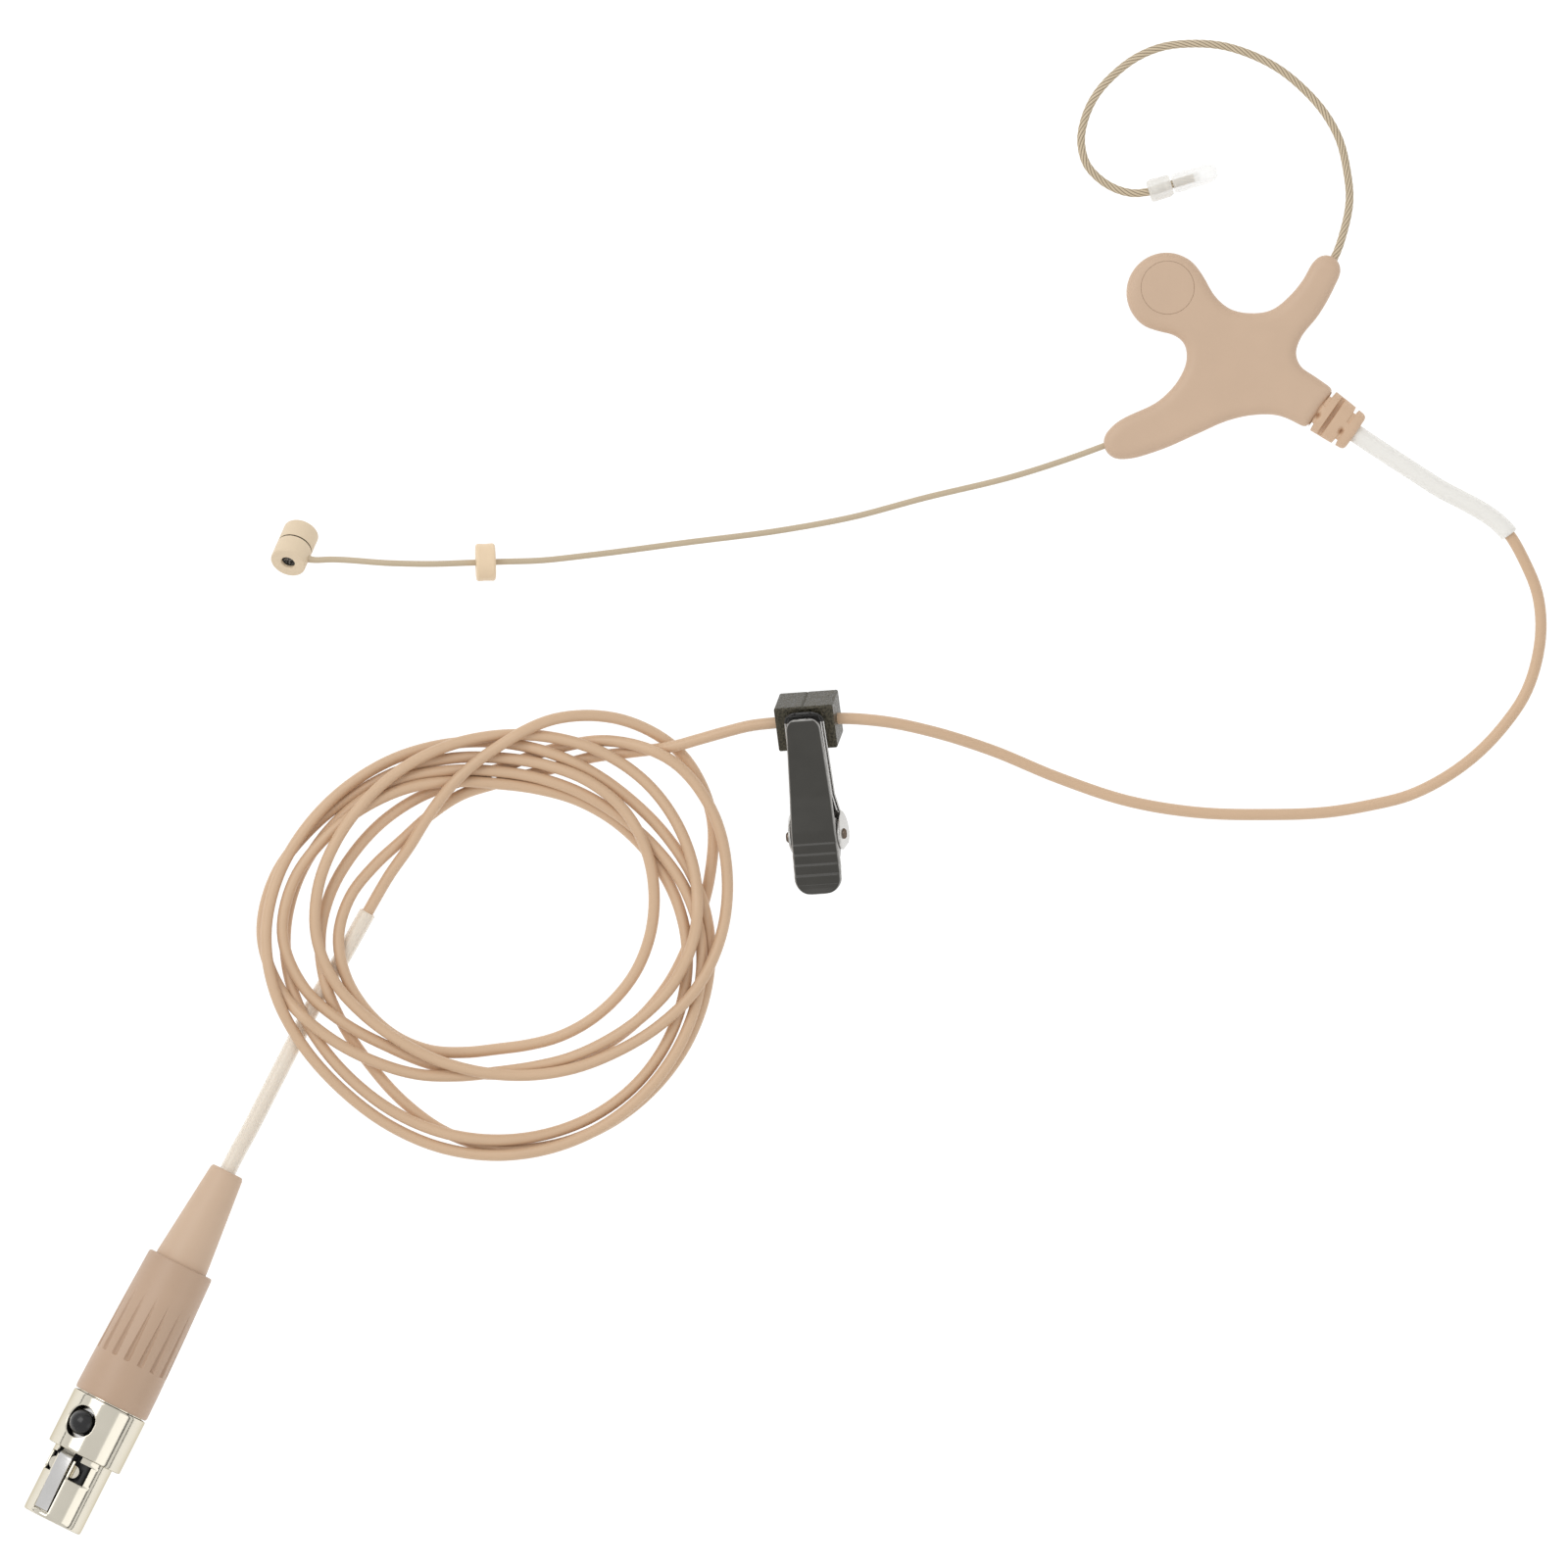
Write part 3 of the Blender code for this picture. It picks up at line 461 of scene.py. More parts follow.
def piece(
    name, points, faces, finish, slot, nodes=(), body="headset", crease=40.0, closed=True, **stored
):
    """Object from points in millimetres; stored arrays become attributes that a finish can read."""
    mesh = bpy.data.meshes.new(name)
    mesh.from_pydata((np.asarray(points) * MM).tolist(), [], faces)
    if closed:
        turned_outwards(mesh)
    for key, values in stored.items():
        layer = mesh.attributes.new(key, "FLOAT", "POINT")
        layer.data.foreach_set("value", np.asarray(values, np.float32).ravel())
    mesh.shade_smooth()
    mesh.set_sharp_from_angle(angle=math.radians(crease))
    mesh.materials.append(finish.material)
    obj = bpy.data.objects.new(name, mesh)
    bpy.context.scene.collection.objects.link(obj)
    if nodes:
        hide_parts(*nodes)
    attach(obj, body)
    print(f"{name}: {len(mesh.polygons)} faces")
    return obj


# %% [markdown]
# ## Curves, frames and rounded corners
#
# Most pieces are one of three things: a profile turned about an axis, a section carried along a
# path, or a flat outline with a height over it.

# %% Curve through points


def cubic(places, knots, wanted):
    """Rows on a cubic through the knots, which lie at places, with slopes from the neighbours.

    Between two knots p and q with slopes m and n the point at t is
    (1+2t)(1-t)^2 p + t(1-t)^2 m + t^2(3-2t) q + t^2(t-1) n.
    """
    slope = np.gradient(knots, places, axis=0)
    span = np.clip(np.searchsorted(places, wanted, side="right") - 1, 0, len(knots) - 2)
    width = (places[span + 1] - places[span])[:, None]
    t = (wanted - places[span])[:, None] / width
    return (
        (1 + 2 * t) * (1 - t) ** 2 * knots[span]
        + t * (1 - t) ** 2 * width * slope[span]
        + t * t * (3 - 2 * t) * knots[span + 1]
        + t * t * (t - 1) * width * slope[span + 1]
    )


def smooth_route(route, step):
    """Points every step millimetres on a cubic through the route."""
    knots = np.array(route, float)
    chord = distances(knots)
    curve = cubic(chord, knots, np.linspace(0.0, chord[-1], 60 * len(knots)))
    length = distances(curve)
    even = np.linspace(0.0, length[-1], max(2, math.ceil(length[-1] / step) + 1))
    return resample(curve, even)


def distances(path):
    """Distance along a path from its first point to each point."""
    return np.concatenate([[0.0], np.cumsum(np.linalg.norm(np.diff(path, axis=0), axis=1))])


def resample(path, wanted):
    """Points at the wanted distances along a path."""
    length = distances(path)
    return np.stack([np.interp(wanted, length, path[:, k]) for k in range(path.shape[1])], axis=1)


def eased(corners, radius, steps=6):
    """A chain of points with each corner b rounded from a to c, both radius away from it.

    The rounding is (1-t)^2 a + 2t(1-t) b + t^2 c.
    """
    corners = np.array(corners, float)
    before, corner, after = corners[:-2], corners[1:-1], corners[2:]
    back, ahead = before - corner, after - corner
    back_length = np.linalg.norm(back, axis=1, keepdims=True)
    ahead_length = np.linalg.norm(ahead, axis=1, keepdims=True)
    start = corner + back * np.minimum(radius / back_length, 0.48)
    end = corner + ahead * np.minimum(radius / ahead_length, 0.48)
    t = np.linspace(0.0, 1.0, steps)[None, :, None]
    bend = (1 - t) ** 2 * start[:, None] + 2 * t * (1 - t) * corner[:, None] + t * t * end[:, None]
    return np.concatenate([corners[:1], bend.reshape(-1, corners.shape[1]), corners[-1:]])


# %% Frames, turning and carrying


def axes(axis, towards):
    """Columns are a piece's own directions: z along axis, x leaning to towards, y across both."""
    z = np.array(axis, float)
    z /= np.linalg.norm(z)
    x = np.array(towards, float)
    x -= x.dot(z) * z
    x /= np.linalg.norm(x)
    return np.stack([x, np.cross(z, x), z], axis=1)


def placed(points, origin, turn):
    """Local points put into the model's space."""
    return np.asarray(points) @ turn.T + np.asarray(origin, float)


def lathe(profile, steps=96):
    """Point (r, z) of the profile at angle a becomes (r cos a, r sin a, z)."""
    angle = np.arange(steps) * math.tau / steps
    r, z = np.asarray(profile, float).T
    return np.stack(
        [np.outer(r, np.cos(angle)), np.outer(r, np.sin(angle)), np.outer(z, np.ones(steps))], axis=-1
    )


def path_frames(path, up=(0.0, 0.0, 1.0)):
    """Unit vectors along, beside and above a path that never runs along up."""
    along = np.gradient(path, axis=0)
    along /= np.linalg.norm(along, axis=1)[:, None]
    side = np.cross(along, up)
    side /= np.linalg.norm(side, axis=1)[:, None]
    return along, side, np.cross(side, along)


def carried(path, radius, sides=16, up=(0.0, 0.0, 1.0)):
    """Round section along a path: at angle a the point is path + radius (cos a side + sin a up)."""
    angle = np.arange(sides) * math.tau / sides
    _, side, above = path_frames(path, up)
    reach = np.broadcast_to(radius, (len(path), sides))[..., None]
    rim = np.cos(angle)[None, :, None] * side[:, None] + np.sin(angle)[None, :, None] * above[:, None]
    return path[:, None] + reach * rim


# %% [markdown]
# ## Cable
#
# A limp cable 1.5 mm thick. It leaves the body straight, runs round in a wide curve, passes through
# the clip's block, lies in seven loose turns and ends in the plug. Its route on the table is a list
# of points with the turns in polar form: for each turn, the radius at the eight compass points,
# counter-clockwise from the top.

# %% Route of the cable
FROM_BODY = [
    (7.14, -3.40, 2.2),
    (10.1, -5.45, 2.2),
    (14.7, -8.64, 2.2),
    (24.6, -15.15, 2.0),
    (34.87, -21.9, 1.45),
    (36.9, -25.5, 1.1),
    (38.5, -29.5, 0.8),
    (39.0, -33.5, 0.77),
    (38.5, -38.1, 0.77),
    (36.9, -42.8, 0.77),
    (34.2, -46.8, 0.77),
    (30.6, -50.6, 0.77),
    (26.7, -53.5, 0.77),
    (21.7, -56.0, 0.77),
    (16.5, -57.3, 0.77),
    (11.8, -58.1, 0.77),
    (2.8, -58.5, 0.77),
    (-6.15, -58.2, 0.77),
    (-15.1, -56.7, 0.8),
    (-24.1, -53.7, 1.2),
    (-33.1, -50.0, 2.9),
    (-40.8, -47.6, 5.0),
    (-47.2, -46.3, 6.9),
    (-52.9, -45.93, 7.05),
    (-56.8, -46.2, 6.4),
    (-60.7, -46.47, 5.75),
    (-64.5, -46.9, 4.6),
    (-67.7, -47.7, 3.5),
    (-70.9, -48.6, 2.6),
    (-74.1, -49.5, 2.15),
    (-80.5, -50.4, 1.5),
    (-85.1, -51.0, 1.5),
    (-90.8, -52.6, 1.0),
]
TO_PLUG = [
    (-114.4, -71.2, 1.2),
    (-117.7, -77.05, 1.15),
    (-120.9, -82.3, 1.15),
    (-124.1, -88.4, 1.25),
    (-127.3, -94.7, 2.0),
    (-130.0, -100.0, 3.6),
    (-131.9, -103.5, 4.95),
    (-132.7, -105.1, 5.2),
    (-134.1, -107.9, 5.2),
    (-136.0, -111.7, 5.2),
    (-139.0, -117.6, 5.2),
]
COIL_CENTRE = np.array([-97.44, -74.36])
TURN_RADII = [
    [20.0, 17.7, 20.8, 18.7, 14.8, 16.2, 19.9, 23.3],
    [23.3, 26.3, 30.8, 23.1, 17.8, 19.7, 25.7, 27.9],
    [26.2, 24.7, 23.7, 18.9, 18.1, 21.6, 29.2, 32.3],
    [21.8, 21.2, 23.2, 23.7, 27.8, 28.5, 27.7, 24.9],
    [25.3, 27.7, 30.3, 28.6, 28.7, 28.1, 26.5, 22.3],
    [21.5, 25.1, 27.8, 26.8, 26.7, 26.5, 24.6, 21.4],
    [19.9, 24.1, 28.1, 20.4, 18.1, 20.1, 25.4, 33.8],
]
LAST_TURN = [(2588.5, 31.1), (2610.0, 24.7), (2655.0, 16.4), (2677.8, 16.3)]
BOOT_MOUTH = TO_PLUG[-4]
CABLE_RADIUS = 0.75
SLEEVE_RADIUS = 1.1
KNOT_STEP = 15.0
COIL_START = 90.0
COIL_END = 2677.0


def coil_knots():
    """Radius as a cubic of the unwrapped angle, read every 15 degrees and turned into x and y."""
    angle = COIL_START + 45.0 * np.arange(np.size(TURN_RADII))
    knots = np.array(sorted(list(zip(angle, np.ravel(TURN_RADII))) + LAST_TURN))
    wanted = np.arange(COIL_START, COIL_END, KNOT_STEP)
    radius = cubic(knots[:, 0], knots[:, 1:], wanted)
    turn = np.radians(wanted)
    spots = COIL_CENTRE + radius * np.stack([np.cos(turn), np.sin(turn)], axis=1)
    return np.column_stack([spots, np.full(len(spots), CABLE_RADIUS)])


cable_path = smooth_route(np.concatenate([FROM_BODY, coil_knots(), TO_PLUG]), 1.0)
print("cable points:", len(cable_path), "flat length:", round(distances(cable_path)[-1]), "mm")

# %% [markdown]
# Where strands cross, one lies on another. For each quarter of the coil a list says which turn is
# below and which is above, read from the bottom up. The strands then settle: every point sinks,
# evens out with its neighbours, and is lifted clear of what it crosses.

# %% Heights of the strands
BOTTOM_UP = {
    0: ([8, 1, 4, 5, 7, 6, 2, 3], 405.0, 2),
    1: ([1, 4, 2, 6, 7, 5, 3, 8], 135.0, 1),
    2: ([8, 4, 6, 7, 2, 1, 3, 5], 225.0, 1),
    3: ([7, 6, 4, 5, 1, 2, 3, 8], 315.0, 1),
}
COIL_SPAN = (-66.0, -126.0)
LAST_STRAND = (2592.0, 2700.0)


def layers(angle):
    """Row q, column i: place of the strand at angle i in the pile of quarter q, 0 at the bottom."""
    rows = []
    for order, middle, first in (BOTTOM_UP[quarter] for quarter in range(4)):
        turn = np.clip(np.round((angle - middle) / 360.0).astype(int) + first, 1, 8)
        rows.append(np.argsort(order)[turn - 1].astype(float))
    last = (angle > LAST_STRAND[0]) & (angle < LAST_STRAND[1])
    return np.where(last, 9.0, np.array(rows))


def patches(first, second, count):
    """Number of each pair's patch of touching pairs: the largest number spreads through it."""
    pairs = np.arange(len(first))
    number = np.full((count + 2, count + 2), -1)
    number[first + 1, second + 1] = pairs
    around = np.stack([number[first + 1 + i, second + 1 + j] for i in (-1, 0, 1) for j in (-1, 0, 1)])
    around = np.where(around < 0, pairs, around)
    label = pairs
    for _ in range(300):
        label = label[around].max(axis=0)
    return label


def crossings(spots, radius):
    """Pairs (upper, lower, rise): z_upper must be z_lower + sqrt(clearance^2 - distance^2) or more.

    Every pair of one crossing takes the order that most of them have, the closest counting most.
    """
    offset = spots - COIL_CENTRE
    angle = np.degrees(np.unwrap(np.arctan2(offset[:, 1], offset[:, 0])))
    angle += 360.0 * np.round((COIL_END - angle[-1]) / 360.0)
    quarter = ((angle % 360.0) // 90.0).astype(int)
    near = np.linalg.norm(spots[:, None] - spots[None], axis=2)
    clearance = radius[:, None] + radius[None] + 0.03
    index = np.arange(len(spots))
    first, second = np.nonzero((near < clearance) & (index[:, None] > index[None] + 10))
    layer = layers(angle)
    vote = np.sign(layer[quarter[first], first] - layer[quarter[first], second])
    rise = np.sqrt(clearance[first, second] ** 2 - near[first, second] ** 2)
    patch = patches(first, second, len(spots))
    is_upper = np.bincount(patch, weights=vote * rise)[patch] > 0
    upper, lower = np.where(is_upper, first, second), np.where(is_upper, second, first)
    return upper, lower, rise


def settled(path, first, last, radius):
    """Heights between first and last after the strands have sunk onto each other.

    Each step evens a point out with its neighbours, sinks it, and shares every overlap of a pair
    between the strand above, which rises, and the strand below, which is pressed down.
    """
    upper, lower, rise = crossings(path[first:last, :2], radius[first:last])
    ground = radius[first:last] + 0.02
    z = path[first:last, 2].copy()
    ends = z[[0, -1]]
    for sink in np.concatenate([np.full(900, 0.004), np.full(200, 0.001)]):
        z[1:-1] += 0.4 * (z[:-2] + z[2:] - 2 * z[1:-1]) - sink
        overlap = np.maximum(z[lower] + rise - z[upper], 0.0) / 2
        lifted, pressed = z.copy(), z.copy()
        np.maximum.at(lifted, upper, z[upper] + overlap)
        np.minimum.at(pressed, lower, z[lower] - overlap)
        z = np.maximum(lifted + pressed - z, ground)
        z[[0, -1]] = ends
    for _ in range(12):
        np.maximum.at(z, upper, z[lower] + rise)
    left = (z[lower] + rise - z[upper]).max()
    print("crossing pairs:", len(upper), "worst overlap:", round(left, 3), "mm")
    return z


in_sleeve = np.cumsum(np.all(np.abs(cable_path[:, :2] - np.array(TO_PLUG[0][:2])) < 0.6, axis=1)) > 0
strand_radius = np.where(in_sleeve, SLEEVE_RADIUS, CABLE_RADIUS)
coil_first = int(np.argmax(cable_path[:, 0] < COIL_SPAN[0]))
coil_last = int(np.nonzero(in_sleeve & (cable_path[:, 0] < COIL_SPAN[1]))[0][0])
heights = settled(cable_path, coil_first, coil_last, strand_radius)
cable_path[coil_first:coil_last, 2] = heights
print("highest strand:", round(heights.max(), 2), "mm")

# %% [markdown]
# The jacket is a round section carried along that path. The two clear sleeves are the same kind of
# tube with a bore: near the body, and from inside the coil to the plug.

# %% Jacket and sleeves
cable = piece(
    "cable", *skin(carried(cable_path, CABLE_RADIUS, 16)), cable_look, "cable_jacket",
    ["cable_upper", "cable_coil", "cable_lower"], crease=80.0,
)


def sleeve(name, path, bore, radius, finish, slot, nodes, ends=0.12):
    """Tube with a bore along a path, its rims rounded: the skin outside, then back through the bore."""
    swell = np.full(len(path), radius)
    swell[[0, -1]] -= ends
    outside = carried(path, swell[:, None], 24)
    inside = carried(path, bore, 24)[::-1]
    return piece(
        name, *skin(np.concatenate([outside, inside]), ring=True), finish, slot, nodes, crease=60.0
    )


along_cable = distances(cable_path)
sleeve_start = along_cable[int(np.argmax(in_sleeve))]
mouth = along_cable[int(np.argmax((cable_path[:, 1] < BOOT_MOUTH[1]) & in_sleeve))]


def stretch_of_cable(start, end, step=0.5):
    ends = np.concatenate(
        [[0.0, 0.08], np.arange(0.6, end - start - 0.5, step), [end - start - 0.08, end - start]]
    )
    return resample(cable_path, start + ends)


RELIEF_MOUTH = FROM_BODY[2][:2]
relief_mouth = along_cable[int(np.linalg.norm(cable_path[:, :2] - RELIEF_MOUTH, axis=1).argmin())]
print("strain relief ends at", round(relief_mouth, 2), "mm of cable")
upper_sleeve = sleeve(
    "sleeve_at_body", stretch_of_cable(relief_mouth + 0.06,
                                       33.4), 0.9, 1.2, white_sleeve_look, "clear_sleeve", ["upper_sleeve"]
)
lower_sleeve = sleeve(
    "sleeve_at_plug", stretch_of_cable(sleeve_start, mouth + 1.0), 0.9, SLEEVE_RADIUS, sleeve_look,
    "clear_sleeve", ["lower_sleeve"],
)
print("lower sleeve:", round(mouth - sleeve_start, 1), "mm")

# %% [markdown]
# ## Body
#
# The X-shaped body is two moulded shells that meet in a line half way up. Seen from above it is one
# outline: a paddle, an arm to the hook, an arm to the cable and an arm to the boom. Its edge is
# rounded, so the height is a function of the distance to the outline, and a triangle net that is
# denser near the edge carries it.

# %% Outline and net of the body
BODY_TOP = 4.4
BODY_SIDE = 3.2
INLAY_CENTRE = np.array([-9.85, 10.38])


def arc(centre, radius, start, end, steps):
    """Points on an arc, from start to end in degrees."""
    angles = np.radians(np.linspace(start, end, steps))
    return [(centre[0] + radius * math.cos(a), centre[1] + radius * math.sin(a)) for a in angles]


def body_outline(step):
    """Closed outline, evened out over 0.3 mm so that its two square corners are rounded."""
    route = (
        [(11.9, -2.95), (9.4, -1.2), (7.4, 0.25), (6.9, 1.8), (7.4, 3.5), (9.9, 6.8), (12.0, 10.6)]
        + arc((10.85, 12.75), 1.95, 0.0, 150.0, 5)
        + [(8.1, 11.8), (6.1, 9.3), (3.6, 7.4), (0.9, 7.05), (-1.7, 7.6), (-3.6, 9.2)]
        + arc((-10.0, 9.75), 5.25, 25.0, 235.0, 9)
        + [(-11.0, 4.7), (-9.0, 4.2), (-7.7, 3.2), (-7.3, 1.5), (-8.5, -1.8), (-10.5, -4.0)]
        + arc((-15.95, -9.8), 2.3, 125.0, 285.0, 6)
        + [(-11.0, -10.9), (-5.9, -8.7), (-1.7, -6.9), (1.4, -6.25), (4.6, -6.3), (8.3, -7.95)]
    )
    curve = smooth_route(np.array(route), step)
    edge = resample(np.array([route[-1], route[0]]), np.arange(step, 6.0, step))
    loop = np.concatenate([curve, edge])
    for _ in range(6):
        loop = (np.roll(loop, 1, axis=0) + 2 * loop + np.roll(loop, -1, axis=0)) / 4
    return loop


def distance_to(loop, spots):
    """Shortest distance from each spot to the closed loop's segments."""
    start, step = loop, np.roll(loop, -1, axis=0) - loop
    rel = spots[:, None] - start[None]
    t = np.clip((rel * step).sum(-1) / (step**2).sum(-1), 0.0, 1.0)
    return np.linalg.norm(rel - t[..., None] * step, axis=-1).min(axis=1)


def is_inside(loop, spots):
    """True where a ray from the spot crosses the loop an odd number of times."""
    a, b = loop, np.roll(loop, -1, axis=0)
    between = (a[None, :, 1] > spots[:, None, 1]) != (b[None, :, 1] > spots[:, None, 1])
    slope = (b[:, 0] - a[:, 0]) / (b[:, 1] - a[:, 1] + 1e-12)
    hits = between & (spots[:, None, 0] < a[None, :, 0] + slope * (spots[:, None, 1] - a[None, :, 1]))
    return hits.sum(axis=1) % 2 == 1


def body_net():
    """Points and triangles over the outline: rings near the edge, circles at the inlay, and a grid inside."""
    loop = body_outline(0.3)
    normal = np.roll(loop, -1, axis=0) - np.roll(loop, 1, axis=0)
    normal /= np.linalg.norm(normal, axis=1)[:, None]
    inward = np.stack([-normal[:, 1], normal[:, 0]], axis=1)
    rings = [0.03, 0.1, 0.22, 0.38, 0.58, 0.82, 1.1, 1.4]
    near_edge = np.concatenate([loop + d * inward for d in rings])
    wanted = np.repeat(rings, len(loop))
    near_edge = near_edge[distance_to(loop, near_edge) > 0.96 * wanted]
    x, y = np.meshgrid(np.arange(-19.0, 14.0, 0.42), np.arange(-13.0, 16.0, 0.42))
    grid = np.stack([x.ravel(), y.ravel()], axis=1)
    grid = grid[is_inside(loop, grid)]
    grid = grid[distance_to(loop, grid) > 1.6]
    around = np.radians(np.arange(0.0, 360.0, 2.5))
    circle = np.stack([np.cos(around), np.sin(around)], axis=1)
    circles = np.concatenate([INLAY_CENTRE + r * circle for r in (3.3, 3.44, 3.475, 3.505, 3.54, 3.7)])
    others = np.concatenate([near_edge, grid])
    reach = np.linalg.norm(others - INLAY_CENTRE, axis=1)
    others = others[np.abs(reach - 3.5) > 0.4]
    spots = np.concatenate([loop, others, circles])
    ring = [(i, (i + 1) % len(loop)) for i in range(len(loop))]
    made = delaunay_2d_cdt(spots.tolist(), ring, [], 1, 1e-6)
    flat = np.array([tuple(v) for v in made[0]])
    return loop, flat, [list(f) for f in made[2]]


outline, net, net_faces = body_net()
print("body net:", len(net), "points,", len(net_faces), "triangles")

# %% [markdown]
# The front shell is crowned at the edge like a quarter of an oval, and holds the inlay in a shallow
# round recess. The back shell has a smaller rounding and is flat where it lies on the cheek.

# %% Body shells and inlay


def rounded_edge(depth, width, height, power=2.2):
    """Rise from 0 at the edge to height at width: height (1 - (1 - d/w)^p)^(1/p)."""
    share = np.clip(1.0 - depth / width, 0.0, 1.0)
    return height * (1.0 - share**power) ** (1.0 / power)


def shell(name, heights, rim, node):
    """Closed half shell: the net at its heights, a wall down to the rim, and the rim's flat face."""
    corner = np.linalg.norm(net[None] - outline[:, None], axis=2).argmin(axis=1)
    top = np.column_stack([net, heights])
    wall = np.column_stack([outline, np.full(len(outline), rim)])
    count, start = len(outline), len(top)
    here = np.arange(count)
    ahead = (here + 1) % count
    walls = np.stack([corner, corner[ahead], start + ahead, start + here], axis=1).tolist()
    faces = net_faces + walls + [list(range(start, start + count))]
    return piece(name, np.concatenate([top, wall]), faces, body_look, "tan_plastic", [node], crease=50.0)


depth = distance_to(outline, net)
crown = BODY_SIDE + rounded_edge(depth, 1.5, BODY_TOP - BODY_SIDE)
from_inlay = np.linalg.norm(net - INLAY_CENTRE, axis=1)
crown = np.where(from_inlay < 3.49, np.minimum(crown, 4.25), crown)
shell("body_front", crown, 2.24, "body_front_shell")
shell("body_back", 0.55 - rounded_edge(depth, 0.7, 0.55), 2.14, "body_back_shell")
inlay_profile = eased(
    [(3.0, 4.27), (3.46, 4.27), (3.48, 4.36), (3.40, 4.405), (1.2, 4.40), (0.02, 4.40)], 0.03
)
piece(
    "paddle_disc", *skin(lathe(inlay_profile) + np.array([*INLAY_CENTRE, 0.0])), body_look,
    "tan_plastic",
    ["paddle_inlay"],
)

# %% [markdown]
# ## Strain relief
#
# A soft oval moulding keeps the cable from kinking where it leaves the body. Slots are cut from the
# sides and from above and below in turn, so that it can bend every way. The surface is a grid of
# oval sections, and each slot pushes its sections in.

# %% Strain relief
RELIEF_BASE = FROM_BODY[1]
RELIEF_TURN = axes((0.822, -0.569, 0.0), (0.0, 0.0, 1.0))


def slot_depth(station, start, end, edge=0.12):
    """1 inside a slot from start to end, 0 outside, with rounded walls."""
    rise = np.clip((station - start) / edge, 0, 1) * np.clip((end - station) / edge, 0, 1)
    return rise * rise * (3 - 2 * rise)


def relief_grid(steps=144):
    """Oval sections: across = w cos a, up = h sin a, on a squarish oval, less the slots and pits."""
    knots = np.array([(-0.6, 2.4, 1.5), (-0.02, 2.5, 1.6), (0.04, 2.85, 1.95), (0.2, 3.0, 2.12), (
        0.5, 3.05, 2.15
    ),
                      (3.0, 2.9, 2.05), (5.1, 2.7, 1.95), (5.4, 2.55, 1.82), (5.55, 2.3, 1.6), (5.6,
                                                                                                2.0, 1.4)])
    station = np.concatenate([[-0.6, -0.02, 0.04], np.arange(0.1, 5.5, 0.05), [5.5, 5.55, 5.58, 5.6]])
    wide = np.interp(station, knots[:, 0], knots[:, 1])[:, None]
    high = np.interp(station, knots[:, 0], knots[:, 2])[:, None]
    angle = np.arange(steps) * math.tau / steps
    oval = (np.abs(np.cos(angle)) ** 2.5 + np.abs(np.sin(angle)) ** 2.5) ** (-1 / 2.5)
    across, up = wide * oval * np.cos(angle), high * oval * np.sin(angle)
    sides = slot_depth(station, 0.02, 0.5)[:, None] + slot_depth(station, 3.75, 4.3)[:, None]
    outer = np.clip((np.abs(across) - 1.9) / 0.5, 0, 1)
    across = across - np.sign(across) * sides * outer * np.clip(np.abs(across) - 1.95, 0, 2)
    spot = station[:, None]
    pits = sum(np.exp(-(((spot - s) / 0.26) ** 2) - ((across - 0.85) / 0.42) ** 2) for s in (0.27, 3.85))
    trough = 0.16 * sides * (np.abs(across) > 0.6)
    band = slot_depth(station, 1.42, 2.12)[:, None] * np.clip((2.95 - np.abs(across)) / 0.2, 0, 1)
    up = up * (1 - 0.42 * band) - np.sign(up) * (0.75 * pits + trough)
    return np.stack([up, across, np.broadcast_to(spot, up.shape)], axis=-1)


def relief_surface():
    outside = relief_grid()
    angle = np.arange(outside.shape[1]) * math.tau / outside.shape[1]
    bore = [np.stack([0.86 * np.sin(angle), 0.86 * np.cos(angle), np.full_like(angle, s)],
                     axis=-1) for s in (5.6, -0.6)]
    return placed(np.concatenate([outside, bore]), RELIEF_BASE, RELIEF_TURN)


piece(
    "cable_relief", *skin(relief_surface(), ring=True), relief_look, "strain_relief_rubber", [
        "strain_relief"
    ],
    crease=45.0,
)

# %% [markdown]
# ## Ear hook
#
# Seven thin strands twisted round a soft wire: the section is a rosette that turns as it is carried
# along. Its furrows are stored on the mesh, and the finish paints shade into them. At the end a
# frosted sleeve and a clear tip keep the cut strands from the skin.

# %% Ear hook
HOOK_ROUTE = [
    (8.3, 8.7, 2.2),
    (10.4, 11.9, 2.2),
    (12.0, 14.4, 2.2),
    (13.2, 17.8, 2.2),
    (13.95, 22.0, 2.2),
    (13.6, 25.7, 2.2),
    (12.55, 29.9, 2.2),
    (10.5, 33.5, 2.2),
    (8.0, 36.3, 2.2),
    (4.7, 39.0, 2.2),
    (1.0, 40.9, 2.2),
    (-2.6, 42.0, 2.2),
    (-6.8, 42.3, 2.2),
    (-10.4, 41.9, 2.2),
    (-13.7, 40.6, 2.2),
    (-16.8, 38.3, 2.2),
    (-19.2, 35.6, 2.2),
    (-20.6, 32.7, 2.2),
    (-21.15, 29.4, 2.2),
    (-20.4, 26.5, 2.2),
    (-18.6, 24.5, 2.2),
    (-16.3, 23.2, 2.2),
    (-14.3, 22.75, 2.2),
    (-12.3, 22.95, 2.2),
    (-9.2, 23.91, 2.2),
    (-6.4, 24.78, 2.2),
]
STRANDS = 7
TWIST_PITCH = 7.0


def rope_grid(path, radius, sides=70):
    """Rosette radius: each of the strands is a round lobe that turns once in TWIST_PITCH."""
    angle = np.arange(sides)[None, :] * math.tau / sides
    turn = distances(path)[:, None] * math.tau / TWIST_PITCH
    lobe = np.abs(np.sin((angle + turn) * STRANDS / 2))
    return carried(path, radius * (0.80 + 0.20 * np.sqrt(lobe)), sides), lobe


